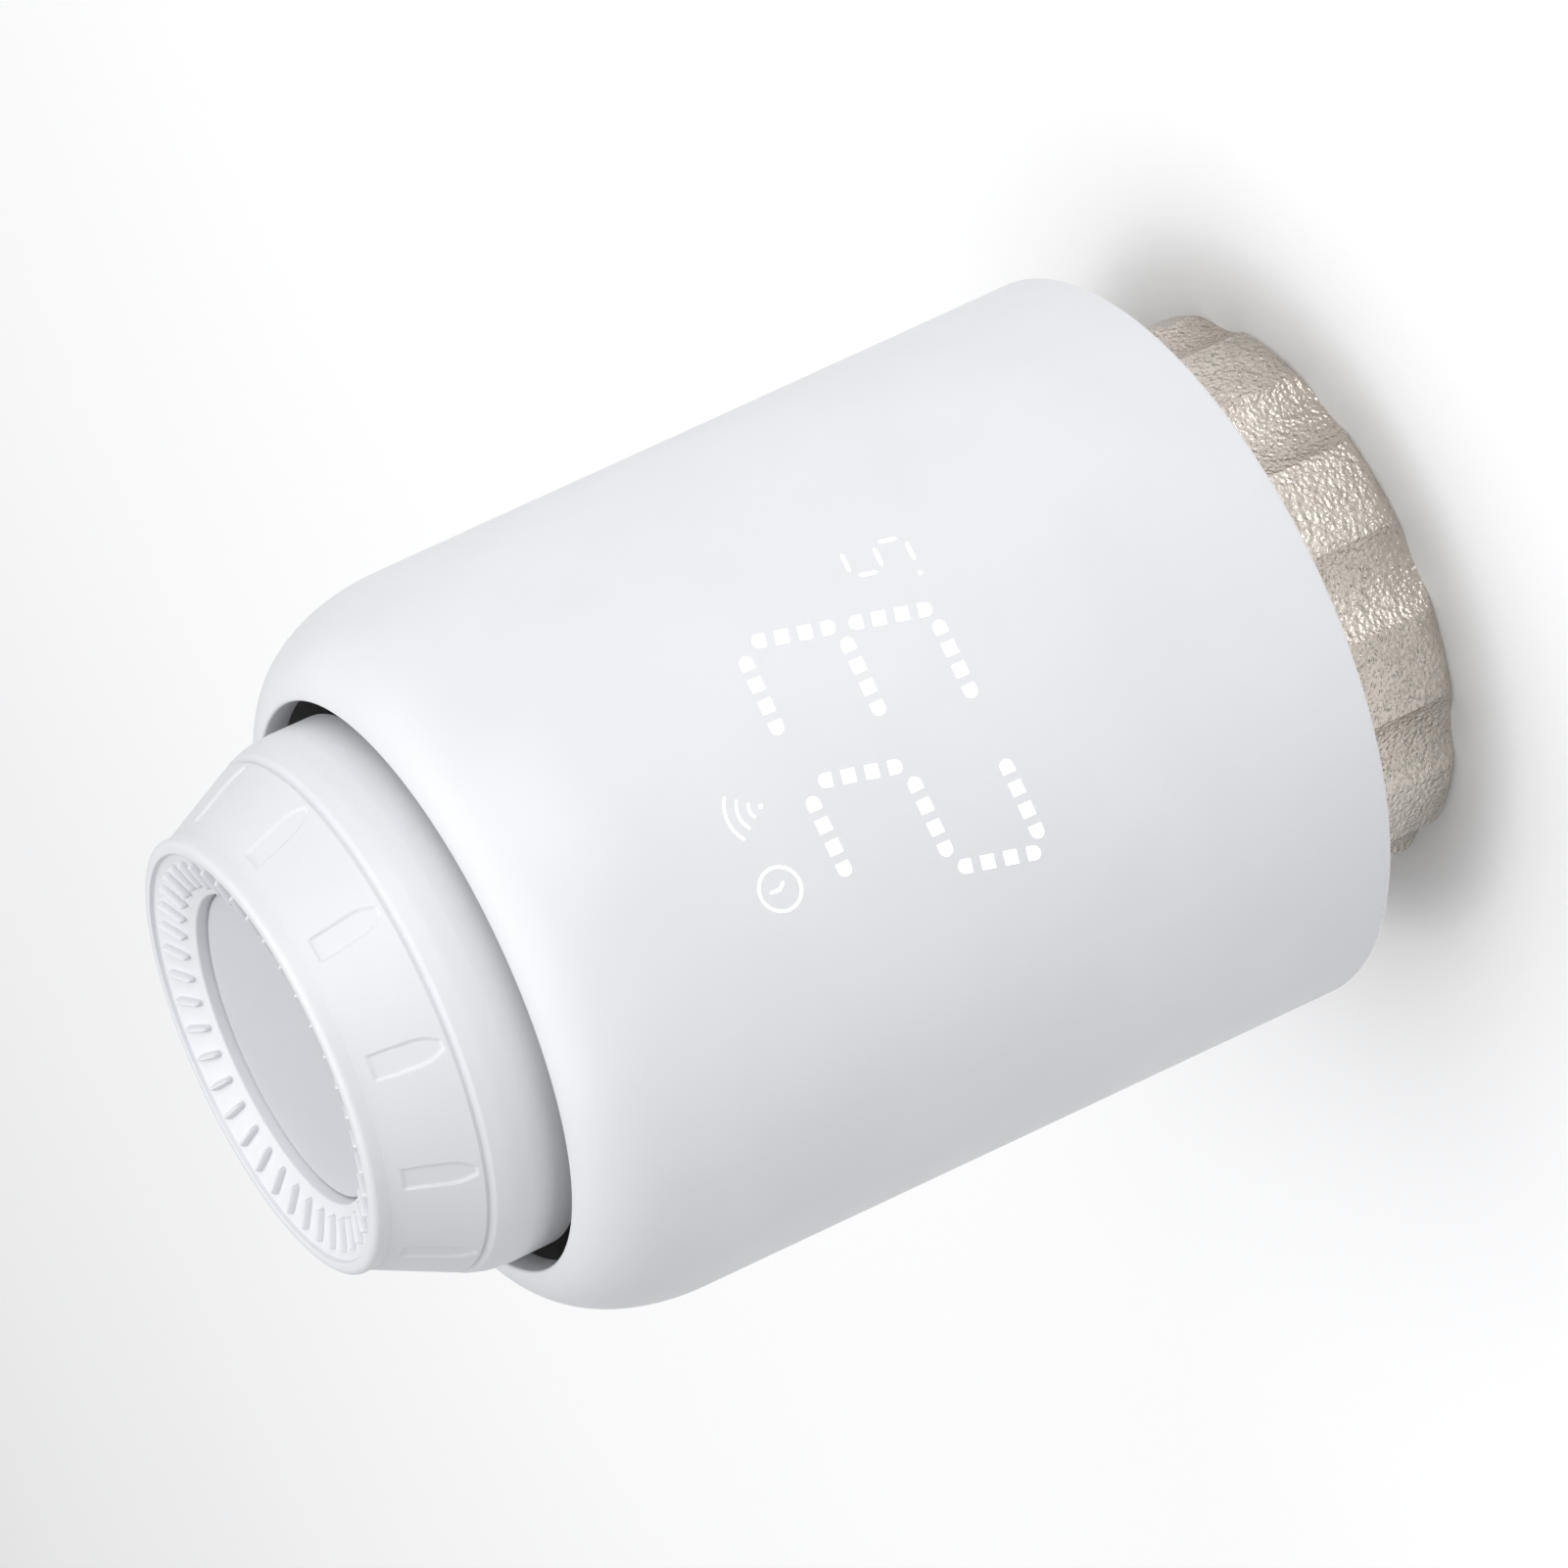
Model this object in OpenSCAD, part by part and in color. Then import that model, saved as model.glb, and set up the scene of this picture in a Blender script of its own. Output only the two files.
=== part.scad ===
// Motorised radiator valve head with a hidden display, a push and turn knob and a union nut.
// Origin: centre of the union nut's open end. +Z runs along the valve axis to the knob.
// The display faces -Y.

/* [Casing] */
// Outer radius of the casing at its open end
casing_r = 26.5; // [26:0.1:28]
// Outer radius where the rounded nose starts
nose_r = 25.77; // [25.4:0.05:26]
// Height of the casing's open end above the nut's open end
casing_z0 = 10.1; // [9.5:0.1:10.5]
// Height where the rounded nose starts
nose_z0 = 60; // [59:0.2:61]
// Height of the opening in the nose
nose_z1 = 69.5; // [69.4:0.1:70]
// Radius of the opening in the nose
opening_r = 20.25; // [20:0.05:20.5]
// Wall thickness of the casing
wall = 2; // [1.8:0.05:2]

/* [Union nut] */
// Minor radius of the M30 x 1.5 internal thread
thread_r = 14.19; // [14.1:0.01:14.3]
// Radius over the nut's lobes
nut_r = 20; // [19.6:0.1:20.2]
// Number of grip flutes around the nut
flutes = 10; // [6:1:12]
// Depth of a flute below the lobes
flute_depth = 1; // [0.8:0.1:1.4]
// Height of the nut
nut_h = 11.3; // [11:0.1:11.5]

/* [Knob] */
// Radius of the knob's skirt
skirt_r = 18.87; // [18.5:0.01:18.9]
// Radius where the knob's cone starts
cone_r0 = 18.1; // [17.8:0.1:18.3]
// Radius of the knob's face
face_r = 14.9; // [14.6:0.1:15.2]
// Height of the knob's face
knob_top = 81; // [80.5:0.1:81.5]
// Number of raised ticks around the face
ticks = 40; // [20:4:60]
// Number of marks around the cone
marks = 12; // [6:1:16]

/* [Valve drive] */
// Travel of the push pin
stroke = 4.8; // [3:0.1:4.8]
// Depth of the retracted pin behind the neck's contact face
pin_depth = 15.6; // [15:0.1:15.6]
// Tooth module of the last gear pair
module_last = 0.5; // [0.5:0.5:0.5]
// Tooth module of the two fast gear pairs
module_fast = 0.4; // [0.4:0.4:0.4]

/* [Batteries] */
// Radius of an AA cell
cell_r = 7.25; // [7:0.05:7.25]
// Length of an AA cell over its button
cell_h = 50.5; // [50:0.1:50.5]

/* [Hidden] */
$fn = 96;

cut = 0.5; // how far a cutter runs past the face it cuts

// heights along the valve axis
neck_z = 8.4;
plate_z0 = 12.2;
plate_z1 = 13.4;
tube_z = 25.6;
pin_z = neck_z + pin_depth;
floor_z = 26.8;
last_z0 = 27.2;
last_z1 = 31;
bearing_z0 = 31.9;
bearing_z1 = 33.3;
hub_z1 = 34.1;
wheel_b_z = 34.8;
wheel_a_z = 37.3;
cover_z0 = 39.6;
cover_z1 = 41;
board_z0 = 29;
board_z1 = 61.5;
deck_z0 = 63;
deck_z1 = 64.5;
holder_z1 = 66.7;

// radii
frame_r = 23.2;
neck_r = 12.3;
tube_r = 5.6;
screw_r = 2.9;
hub_r = 3.9;
axle_r = 0.75;
encoder_r = 3;

// gear train: output gear on the valve axis, then B, A and the motor
tooth_out = 20;
tooth_small = 10;
tooth_wheel = 40;
axle_gap = 0.05;
r_fast = module_fast * (tooth_wheel + tooth_small) / 2;
r_last = module_last * (tooth_out + tooth_small) / 2;
angle_b = 225;
angle_a = 0;
angle_m = 155;
at_b = r_last * [cos(angle_b), sin(angle_b)];
at_a = at_b + r_fast * [cos(angle_a), sin(angle_a)];
at_m = at_a + r_fast * [cos(angle_m), sin(angle_m)];
wheel_room = module_fast * tooth_wheel / 2 + 0.9;
post_at = [
    at_b + 11.3 * [cos(160), sin(160)], at_b + 11.3 * [cos(215), sin(215)],
    at_a + 11.3 * [cos(20), sin(20)], at_a + 11.3 * [cos(325), sin(325)]
];
post_r = 2.3;

// batteries
cell_at = [7.75, 13.15];
channel_r = cell_r + 0.15;
trough_r = channel_r + 0.7;
bottom_plate_z = plate_z1 + 0.3;
cell_z0 = bottom_plate_z + 1.2;
contact_z = cell_z0 + cell_h;

// boards and display
board_y = -17.1;
board_t = 1;
board_w = 27;
dash = 1.1;
dash_pitch = 1.55;
digit_w = 7;
digit_h = 13.15;
digit_at = [-4.94, 4.94];
digit_z = 42;
slant = tan(14.5);

// a ring or disc cut away in the middle
module ring(r1, r0, h) {
    difference() {
        cylinder(r = r1, h = h);
        translate([0, 0, -cut]) cylinder(r = r0, h = h + 2 * cut);
    }
}

// involute gear outline with stub teeth of 28 degrees pressure angle
pressure = 28;
function inv_deg(a) = tan(a) * 180 / PI - a;
function half_angle(r, m, n, slack) =
    90 / n - slack / (m * n) * 180 / PI + inv_deg(pressure)
    - inv_deg(acos(min(1, m * n / 2 * cos(pressure) / r)));
function tooth(m, n, slack) =
    let (rp = m * n / 2, rb = rp * cos(pressure), root = rp - m, tip = rp + 0.8 * m,
         start = max(rb, root), flank = [for (i = [0:4]) start + (tip - start) * i / 4],
         up = concat([[root, half_angle(start, m, n, slack)]],
                     [for (r = flank) [r, half_angle(r, m, n, slack)]]))
    concat([for (p = up) [p[0], -p[1]]], [for (i = [len(up) - 1:-1:0]) up[i]]);
module gear_outline(m, n, slack = 0.05) {
    one = tooth(m, n, slack);
    polygon([for (i = [0:n - 1]) for (p = one)
        p[0] * [cos(p[1] + i * 360 / n), sin(p[1] + i * 360 / n)]]);
}

// gear with a tooth centred on the direction turn
module gear(m, n, h, turn) {
    rotate(turn) linear_extrude(h) gear_outline(m, n);
}

// the same with a gap centred on the direction turn
module gear_gap(m, n, h, turn) {
    gear(m, n, h, turn + 180 / n);
}

// ---- casing -------------------------------------------------------------------------
// outer and inner outline of the casing: taper, then a quarter ellipse over the nose
nose_steps = 20;
lip = 0.45;
inner_z1 = nose_z1 - wall;
inner_nose_z0 = nose_z0 - 1;
sleeve_outline = concat(
    [[casing_r - wall, casing_z0], [casing_r - lip, casing_z0], [casing_r, casing_z0 + lip]],
    [for (i = [0:nose_steps]) let (a = 84 * i / nose_steps)
        [opening_r + (nose_r - opening_r) * cos(a), nose_z0 + (nose_z1 - nose_z0) * sin(a)]],
    [[opening_r + 0.25, nose_z1], [opening_r, nose_z1 - 0.25], [opening_r, inner_z1]],
    [for (i = [nose_steps - 2:-1:0]) let (a = 90 * i / nose_steps)
        [opening_r + (nose_r - wall - opening_r) * cos(a),
         inner_nose_z0 + (inner_z1 - inner_nose_z0) * sin(a)]]
);
key_w = 2;
module sleeve() {
    color("white") union() {
        rotate_extrude($fn = 128) polygon(sleeve_outline);
        // key rib that keeps the display in line
        translate([-key_w / 2, casing_r - wall - 0.9, casing_z0 + 0.6])
            cube([key_w, 1.3, 5]);
    }
}

// ---- valve connection ----------------------------------------------------------------
ring_z = 8.8;
ring_h = 0.7;
module base() {
    color("whitesmoke") difference() {
        union() {
            translate([0, 0, neck_z]) cylinder(r = neck_r, h = plate_z0 - neck_z + cut);
            translate([0, 0, plate_z0])
                cylinder(r = casing_r - wall - 0.4, h = plate_z1 - plate_z0);
            translate([0, 0, plate_z0]) cylinder(r = tube_r + 1, h = tube_z - plate_z0);
            for (p = post_at) translate([p[0], p[1], plate_z0])
                cylinder(r = post_r, h = tube_z - plate_z0);
        }
        // pocket for the valve's gland and pin
        translate([0, 0, neck_z - cut]) cylinder(r = 9, h = 2 + cut);
        translate([0, 0, neck_z]) cylinder(r = tube_r, h = tube_z);
        // groove for the snap ring
        translate([0, 0, ring_z]) ring(neck_r + cut, neck_r - 0.6, ring_h);
        for (p = post_at) translate([p[0], p[1], 17]) cylinder(r = 0.9, h = tube_z);
        // notch for the casing's key rib
        translate([-key_w / 2 - 0.3, casing_r - wall - 1.3, plate_z0 - cut])
            cube([key_w + 0.6, 3, 3]);
        // vents for the temperature sensor
        for (a = [-24:8:24]) rotate(a - 90) translate([21.2, -0.7, plate_z0 - cut])
            cube([1.6, 1.4, 3]);
    }
    // ribs that keep the push pin from turning
    rib_z0 = pin_z - stroke - 0.6;
    color("whitesmoke") for (s = [0, 180]) rotate(s)
        translate([tube_r - 0.9, -0.8, rib_z0]) cube([1.2, 1.6, tube_z - rib_z0]);
}

module union_nut() {
    // a flute is as wide as a lobe
    half_w = nut_r * sin(90 / flutes);
    sag = flute_depth - nut_r * (1 - cos(90 / flutes));
    flute_r = (half_w * half_w + sag * sag) / (2 * sag);
    color("silver") difference() {
        intersection() {
            cylinder(r = nut_r, h = nut_h);
            // softly rounded corners at both ends
            rotate_extrude() polygon([[0, 0], [nut_r - 1.1, 0], [nut_r - 0.5, 0.35], [nut_r, 1.1],
                [nut_r, nut_h - 1.1], [nut_r - 0.5, nut_h - 0.35], [nut_r - 1.1, nut_h], [0, nut_h]]);
        }
        for (i = [0:flutes - 1]) rotate((i + 0.25) * 360 / flutes)
            translate([nut_r - flute_depth + flute_r, 0, -cut])
                cylinder(r = flute_r, h = nut_h + 2 * cut);
        translate([0, 0, -cut]) cylinder(r = thread_r, h = 9);
        // lead-in chamfer and the relief behind the thread
        translate([0, 0, -0.01]) cylinder(r1 = thread_r + 0.9, r2 = thread_r, h = 0.81);
        translate([0, 0, 8.2]) cylinder(r = thread_r + 0.5, h = 1.5);
        cylinder(r = neck_r + 0.35, h = nut_h + cut);
    }
}

module snap_ring() {
    gap = 28;
    color("silver") translate([0, 0, ring_z])
        rotate(gap / 2) rotate_extrude(angle = 360 - gap)
            translate([neck_r - 0.6, 0]) square([1.9, ring_h]);
}

// ---- valve drive ---------------------------------------------------------------------
module push_pin() {
    color("beige") difference() {
        union() {
            translate([0, 0, pin_z]) cylinder(r = tube_r - 0.3, h = 1.5);
            translate([0, 0, pin_z]) cylinder(r = screw_r, h = hub_z1 - pin_z);
        }
        for (s = [0, 180]) rotate(s)
            translate([tube_r - 1.25, -1.1, pin_z - cut]) cube([2, 2.2, 3]);
    }
}

module output_gear() {
    color("ivory") difference() {
        union() {
            translate([0, 0, last_z0])
                gear(module_last, tooth_out, last_z1 - last_z0, angle_b);
            translate([0, 0, tube_z + 0.3]) cylinder(r = hub_r, h = hub_z1 - tube_z - 0.3);
        }
        translate([0, 0, tube_z - cut]) cylinder(r = screw_r + axle_gap, h = 10);
    }
}

module thrust_washer() {
    color("silver") translate([0, 0, last_z1 + 0.1])
        ring(5.2, hub_r + 0.15, bearing_z0 - last_z1 - 0.1);
}

// outline of the gearbox around its wheels
module gearbox_outline(grow) {
    r = wheel_room + grow - 0.9;
    translate(at_a) circle(r = r);
    translate(at_b) circle(r = r);
    translate([at_b[0], at_b[1] - r]) square([at_a[0] - at_b[0], 2 * r]);
    circle(r = 5.9 + grow - 0.1);
}

module posts(r, z0, z1) {
    for (p = post_at) translate([p[0], p[1], z0]) cylinder(r = r, h = z1 - z0, $fn = 48);
}

module gearbox_body() {
    color("gainsboro") difference() {
        union() {
            translate([0, 0, tube_z]) linear_extrude(cover_z0 - tube_z) gearbox_outline(1.3);
            posts(post_r, tube_z, cover_z0);
        }
        translate([0, 0, floor_z]) linear_extrude(cover_z0) gearbox_outline(0.4);
        translate([0, 0, tube_z - cut]) cylinder(r = hub_r + axle_gap, h = 3);
        for (p = [at_a, at_b]) translate([p[0], p[1], tube_z - cut]) cylinder(r = axle_r, h = 3);
        posts(1.1, tube_z - cut, cover_z1);
    }
}

// plate across the gearbox that carries the output gear's thrust
module bearing_plate() {
    color("gainsboro") difference() {
        translate([0, 0, bearing_z0]) linear_extrude(bearing_z1 - bearing_z0)
            gearbox_outline(0.4);
        translate([0, 0, bearing_z0 - cut]) cylinder(r = hub_r + axle_gap, h = 3);
        for (p = [at_a, at_b]) translate([p[0], p[1], bearing_z0 - cut])
            cylinder(r = p == at_b ? 3.3 : axle_r, h = 3);
    }
}

module gearbox_cover() {
    color("gainsboro") difference() {
        union() {
            translate([0, 0, cover_z0]) linear_extrude(cover_z1 - cover_z0) gearbox_outline(1.3);
            posts(post_r, cover_z0, cover_z1);
        }
        for (p = [at_a, at_b]) translate([p[0], p[1], cover_z0 - cut])
            cylinder(r = axle_r, h = 3);
        translate([at_m[0], at_m[1], cover_z0 - cut]) cylinder(r = 2.1, h = 3);
        posts(1.1, cover_z0 - cut, cover_z1 + cut);
    }
}

// wheel and pinion in one piece on the axle next to the output gear
module second_gear() {
    color("ivory") translate([at_b[0], at_b[1], 0]) difference() {
        union() {
            translate([0, 0, last_z0 - 0.2])
                gear_gap(module_last, tooth_small, last_z1 - last_z0 + 0.2, angle_b + 180);
            translate([0, 0, last_z1]) cylinder(r = 2, h = wheel_b_z - last_z1 + cut);
            translate([0, 0, wheel_b_z]) gear(module_fast, tooth_wheel, 2, angle_a);
        }
        translate([0, 0, floor_z]) cylinder(r = axle_r + axle_gap, h = 12);
        translate([0, 0, wheel_b_z + 1.4]) ring(6.6, 2.6, 1);
    }
}

module first_gear() {
    color("ivory") translate([at_a[0], at_a[1], 0]) difference() {
        union() {
            translate([0, 0, wheel_b_z - 0.3])
                gear_gap(module_fast, tooth_small, wheel_a_z - wheel_b_z + 0.5, angle_a + 180);
            translate([0, 0, wheel_a_z]) gear(module_fast, tooth_wheel, 1.6, angle_m);
        }
        translate([0, 0, floor_z]) cylinder(r = axle_r + axle_gap, h = 14);
        translate([0, 0, wheel_a_z + 1.1]) ring(6.6, 2.6, 1);
    }
}

module gear_axles() {
    color("silver") for (p = [at_a, at_b]) translate([p[0], p[1], tube_z])
        cylinder(r = axle_r, h = cover_z1 - tube_z, $fn = 48);
}

module gearbox_screws() {
    head_h = 1.2;
    color("silver") {
        posts(0.9, 18, cover_z1 + head_h);
        difference() {
            posts(1.8, cover_z1, cover_z1 + head_h);
            for (p = post_at) translate([p[0], p[1], cover_z1 + 0.5]) {
                translate([-1.2, -0.25, 0]) cube([2.4, 0.5, 2]);
                translate([-0.25, -1.2, 0]) cube([0.5, 2.4, 2]);
            }
        }
    }
}

// ---- motor ---------------------------------------------------------------------------
motor_z0 = cover_z1;
motor_z1 = motor_z0 + 12.8;
module motor_section(h, shrink = 0) {
    linear_extrude(h) intersection() {
        circle(r = 6 - shrink);
        square([12, 10 - 2 * shrink], center = true);
    }
}

module motor_can() {
    color("silver") translate([at_m[0], at_m[1], 0]) difference() {
        union() {
            translate([0, 0, motor_z0]) motor_section(motor_z1 - motor_z0);
            translate([0, 0, motor_z0 - 0.8]) cylinder(r = 2.05, h = 1);
        }
        translate([0, 0, motor_z0 + 0.8]) motor_section(motor_z1, 0.5);
        translate([0, 0, motor_z0 - 2]) cylinder(r = axle_r + axle_gap, h = 4);
    }
}

module motor_end_cap() {
    color("dimgray") translate([at_m[0], at_m[1], 0]) difference() {
        union() {
            translate([0, 0, motor_z1]) motor_section(1.2, 0.3);
            translate([0, 0, motor_z1 - 1.5]) motor_section(1.6, 0.5);
        }
        translate([0, 0, motor_z1 - 3]) cylinder(r = axle_r + axle_gap, h = 3.6);
    }
}

module motor_terminals() {
    color("gold") for (s = [-1, 1])
        translate([at_m[0] + s * 3.6 - 0.6, at_m[1] - 0.15, motor_z1 + 1.2]) difference() {
            cube([1.2, 0.3, 1.4]);
            translate([0.3, -cut, 0.5]) cube([0.6, 2, 0.5]);
        }
}

module motor_shaft() {
    color("silver") translate([at_m[0], at_m[1], wheel_a_z - 0.1]) {
        cylinder(r = axle_r, h = motor_z1 - wheel_a_z + 0.5, $fn = 48);
        // wound armature
        translate([0, 0, motor_z0 + 3 - wheel_a_z]) cylinder(r = 3.9, h = 6.6);
    }
}

module motor_pinion() {
    color("goldenrod") translate([at_m[0], at_m[1], wheel_a_z - 0.1]) difference() {
        gear_gap(module_fast, tooth_small, 1.9, angle_m + 180);
        translate([0, 0, -cut]) cylinder(r = axle_r, h = 3);
    }
}

// round wire along a list of points
module wire(points, r) {
    for (i = [0:len(points) - 2]) hull() {
        translate(points[i]) sphere(r = r, $fn = 16);
        translate(points[i + 1]) sphere(r = r, $fn = 16);
    }
}

module motor_leads() {
    color("firebrick") for (s = [-1, 1]) let (x = at_m[0] + s * 3.6)
        wire([[x, at_m[1] - 0.55, motor_z1 + 2], [x, at_m[1] - 7, motor_z1 + 2],
              [x - 1.5, board_y + 1.2, motor_z1 - 4], [x - 1.5, board_y + 0.4, motor_z1 - 4]], 0.4);
}

// ---- batteries -----------------------------------------------------------------------
module at_cells() {
    for (s = [-1, 1]) translate([s * cell_at[0], cell_at[1], 0]) children();
}

module battery_holder() {
    edge_y = cell_at[1] + 2;
    color("whitesmoke") difference() {
        union() {
            intersection() {
                union() {
                    at_cells() translate([0, 0, plate_z1])
                        cylinder(r = trough_r, h = holder_z1 - plate_z1);
                    // side flanges that close the troughs against the casing
                    translate([-20.5, cell_at[1] - 1, plate_z1]) cube([41, 1.4, deck_z0 - plate_z1]);
                }
                translate([0, 0, plate_z1]) cylinder(r = frame_r - 1.2, h = holder_z1);
                translate([-30, -10, 0]) cube([60, 10 + edge_y, 80]);
            }
            // top wall that carries the contacts
            intersection() {
                translate([0, 0, contact_z + 0.3])
                    cylinder(r = 19.8, h = holder_z1 - contact_z - 0.3);
                translate([-16, 6, 0]) cube([32, 30, 80]);
            }
        }
        at_cells() translate([0, 0, plate_z1 - cut])
            cylinder(r = channel_r, h = contact_z + 0.3 - plate_z1 + cut);
        // gap under the middle rib for the bridge contact
        translate([-2, cell_at[1] - 4.1, plate_z1 - cut])
            cube([4, 8.2, bottom_plate_z - plate_z1 + cut]);
        // the flanges stay out of the knob's way
        translate([-30, cell_at[1] + 0.4, holder_z1 + 0.1]) cube([60, 30, 10]);
    }
}

module cell() {
    cylinder(r = cell_r, h = cell_h - 1);
    cylinder(r = 2.75, h = cell_h);
}

module battery_cells() {
    color("darkseagreen") {
        translate([-cell_at[0], cell_at[1], cell_z0]) cell();
        translate([cell_at[0], cell_at[1], bottom_plate_z + cell_h]) mirror([0, 0, 1]) cell();
    }
}

// flat conical spring of round wire, wide at z0 and narrow one wire higher
spring_wire = 0.35;
spring_sides = 8;
function spring_ring(t) = let (a = 900 * t, r = 5.2 - 3 * t, z = 0.5 * t)
    [for (k = [0:spring_sides - 1]) let (b = 360 * k / spring_sides, q = r + spring_wire * cos(b))
        [q * cos(a), q * sin(a), spring_wire + z + spring_wire * sin(b)]];

module spring() {
    steps = 50;
    points = [for (i = [0:steps]) each spring_ring(i / steps)];
    sides = [for (i = [0:steps - 1], k = [0:spring_sides - 1])
        let (a = i * spring_sides + k, b = i * spring_sides + (k + 1) % spring_sides)
        [a, b, b + spring_sides, a + spring_sides]];
    first = [for (k = [spring_sides - 1:-1:0]) k];
    last = [for (k = [0:spring_sides - 1]) steps * spring_sides + k];
    polyhedron(points, concat(sides, [first, last]));
}

module battery_springs() {
    color("silver") {
        translate([-cell_at[0], cell_at[1], bottom_plate_z]) spring();
        translate([cell_at[0], cell_at[1], contact_z]) mirror([0, 0, 1]) spring();
    }
}

module bridge_contact() {
    color("silver") translate([-cell_at[0] - 5.5, cell_at[1] - 4, plate_z1])
        cube([2 * cell_at[0] + 11, 8, bottom_plate_z - plate_z1]);
}

module top_contacts() {
    color("silver") at_cells() translate([-5.5, -4, contact_z]) cube([11, 7, 0.3]);
}

// ---- inner frame, boards and display ---------------------------------------------------
rail_x = 14.2;
rail_z0 = cover_z1 + 1.4;
leg_x = 12.6;
leg_y = -7.1;
leg_w = 2.4;
module inner_frame() {
    color("gainsboro") difference() {
        union() {
            // deck under the knob
            intersection() {
                translate([0, 0, deck_z0]) cylinder(r = 20.9, h = deck_z1 - deck_z0);
                translate([-22, -22, 0]) cube([44, 22 + 3.2, 80]);
            }
            // rails that hold the main board
            for (s = [-1, 1]) intersection() {
                translate([s * rail_x - leg_w / 2, board_y - board_t - 0.9, rail_z0])
                    cube([leg_w, 4.4, deck_z0 - rail_z0 + cut]);
                cylinder(r = frame_r, h = 80);
            }
            // legs on the gearbox cover
            for (s = [-1, 1]) translate([s * leg_x - leg_w / 2, leg_y - 1.5, cover_z1])
                cube([leg_w, 3, deck_z0 - cover_z1 + cut]);
            for (s = [-1, 1]) translate([s * leg_x - leg_w / 2, board_y + 2, rail_z0])
                cube([leg_w, 10, 3]);
        }
        // slots for the board's edges
        translate([-board_w / 2 - 0.15, board_y - board_t - 0.05, 0])
            cube([board_w + 0.3, board_t + 0.1, board_z1 + 0.2]);
        // room for the light box in front of the board
        translate([-12, -26, digit_z - 9.5]) cube([30, 26 + board_y - board_t, 22.4]);
        translate([0, 0, deck_z0 - cut]) cylinder(r = 4.3, h = 3);
        translate([0, 0, deck_z0 - cut]) at_frame_screws() cylinder(r = 0.7, h = 5);
    }
}

module at_frame_screws() {
    for (s = [-1, 1]) translate([s * leg_x, leg_y, 0]) children();
}

module frame_screws() {
    color("silver") at_frame_screws() {
        translate([0, 0, deck_z0 + 0.1]) cylinder(r = 0.7, h = 2, $fn = 32);
        translate([0, 0, deck_z1]) difference() {
            cylinder(r = 1.6, h = 0.9, $fn = 48);
            translate([-1, -0.2, 0.4]) cube([2, 0.4, 1]);
            translate([-0.2, -1, 0.4]) cube([0.4, 2, 1]);
        }
    }
}

module main_board() {
    color("seagreen") translate([-board_w / 2, board_y - board_t, board_z0])
        cube([board_w, board_t, board_z1 - board_z0]);
}

// cell centres of one slanted seven-segment figure, as [x, z]
function lean(x, z) = [x + z * slant, z];
function bar(z) = [for (i = [-1.5:1:1.5]) lean(i * dash_pitch, z)];
function post(x, z) = [for (i = [-1.5:1:1.5]) lean(x, z + i * dash_pitch)];
figure = concat(bar(digit_h / 2), bar(0), bar(-digit_h / 2),
    post(-digit_w / 2, digit_h / 4), post(-digit_w / 2, -digit_h / 4),
    post(digit_w / 2, digit_h / 4), post(digit_w / 2, -digit_h / 4));
module display_cells(size) {
    for (x = digit_at, p = figure) translate([x + p[0], digit_z + p[1]])
        square([size, size], center = true);
    // small decimal figure
    for (z = [-2, 0, 2]) translate([12 + z * slant, digit_z - 5.65 + z])
        square([1.4, 0.5 * size], center = true);
    // status lights
    for (x = [-5.2, 0.2]) translate([x, digit_z + 10.3]) circle(r = 1.1, $fn = 24);
}

module light_box() {
    color("white") intersection() {
        translate([0, board_y - board_t, 0]) rotate([90, 0, 0]) linear_extrude(6) difference() {
            translate([-11.5, digit_z - 9.3]) square([25, 22]);
            display_cells(dash);
        }
        cylinder(r = frame_r, h = 80);
    }
}

module diffuser_film() {
    color("aliceblue") intersection() {
        translate([0, 0, digit_z - 9]) ring(frame_r + 0.25, frame_r, 21);
        translate([-11, -30, 0]) cube([22, 20, 80]);
    }
}

module display_leds() {
    color("khaki") translate([0, board_y - board_t, 0]) rotate([90, 0, 0])
        linear_extrude(0.35) display_cells(0.6);
}

module radio_module() {
    color("silver") {
        translate([4.2, board_y, 45.7]) cube([8.2, 0.8, 11]);
        translate([4.6, board_y + 0.8, 46.1]) cube([7.4, 1.7, 7]);
    }
}

module board_chips() {
    color("black") {
        translate([-11.6, board_y, 55]) cube([4.5, 1, 4.5]);
        translate([-11, board_y, 34]) cube([5, 1.2, 4]);
        translate([6, board_y, 35]) cube([3.2, 1, 5]);
        translate([-2, board_y, 31]) cube([3, 0.9, 3]);
    }
}

module capacitor() {
    color("midnightblue") translate([1.1, board_y, 49.5]) rotate([-90, 0, 0])
        cylinder(r = 2.5, h = 5.4);
}

module temperature_sensor() {
    color("saddlebrown") {
        translate([0, board_y - 0.5, 24]) sphere(r = 1.1, $fn = 48);
        for (x = [-0.55, 0.55]) translate([x, board_y - 0.5, 24])
            cylinder(r = 0.2, h = board_z0 - 24, $fn = 16);
    }
}

knob_board_z = 57.2;
module knob_board() {
    color("seagreen") translate([-6.5, board_y, knob_board_z]) cube([13, -board_y + 4.6, 1]);
}

module board_header() {
    color("black") translate([-4.5, board_y, knob_board_z + 1]) cube([9, 2.2, 2]);
}

// ---- knob and its encoder ---------------------------------------------------------------
encoder_z0 = knob_board_z + 1;
encoder_z1 = 62.6;
module encoder_body() {
    color("dimgray") difference() {
        union() {
            translate([-4.9, -4.9, encoder_z0]) cube([9.8, 9.8, encoder_z1 - encoder_z0]);
            translate([0, 0, encoder_z1 - cut]) cylinder(r = 4, h = 3);
        }
        translate([0, 0, encoder_z0 + 0.6]) cylinder(r = encoder_r + axle_gap, h = 10);
    }
}

module switch_dome() {
    color("silver") translate([0, 0, encoder_z0 + 0.6]) cylinder(r = 2.4, h = 0.15);
}

shaft_z0 = 60.5;

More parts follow.
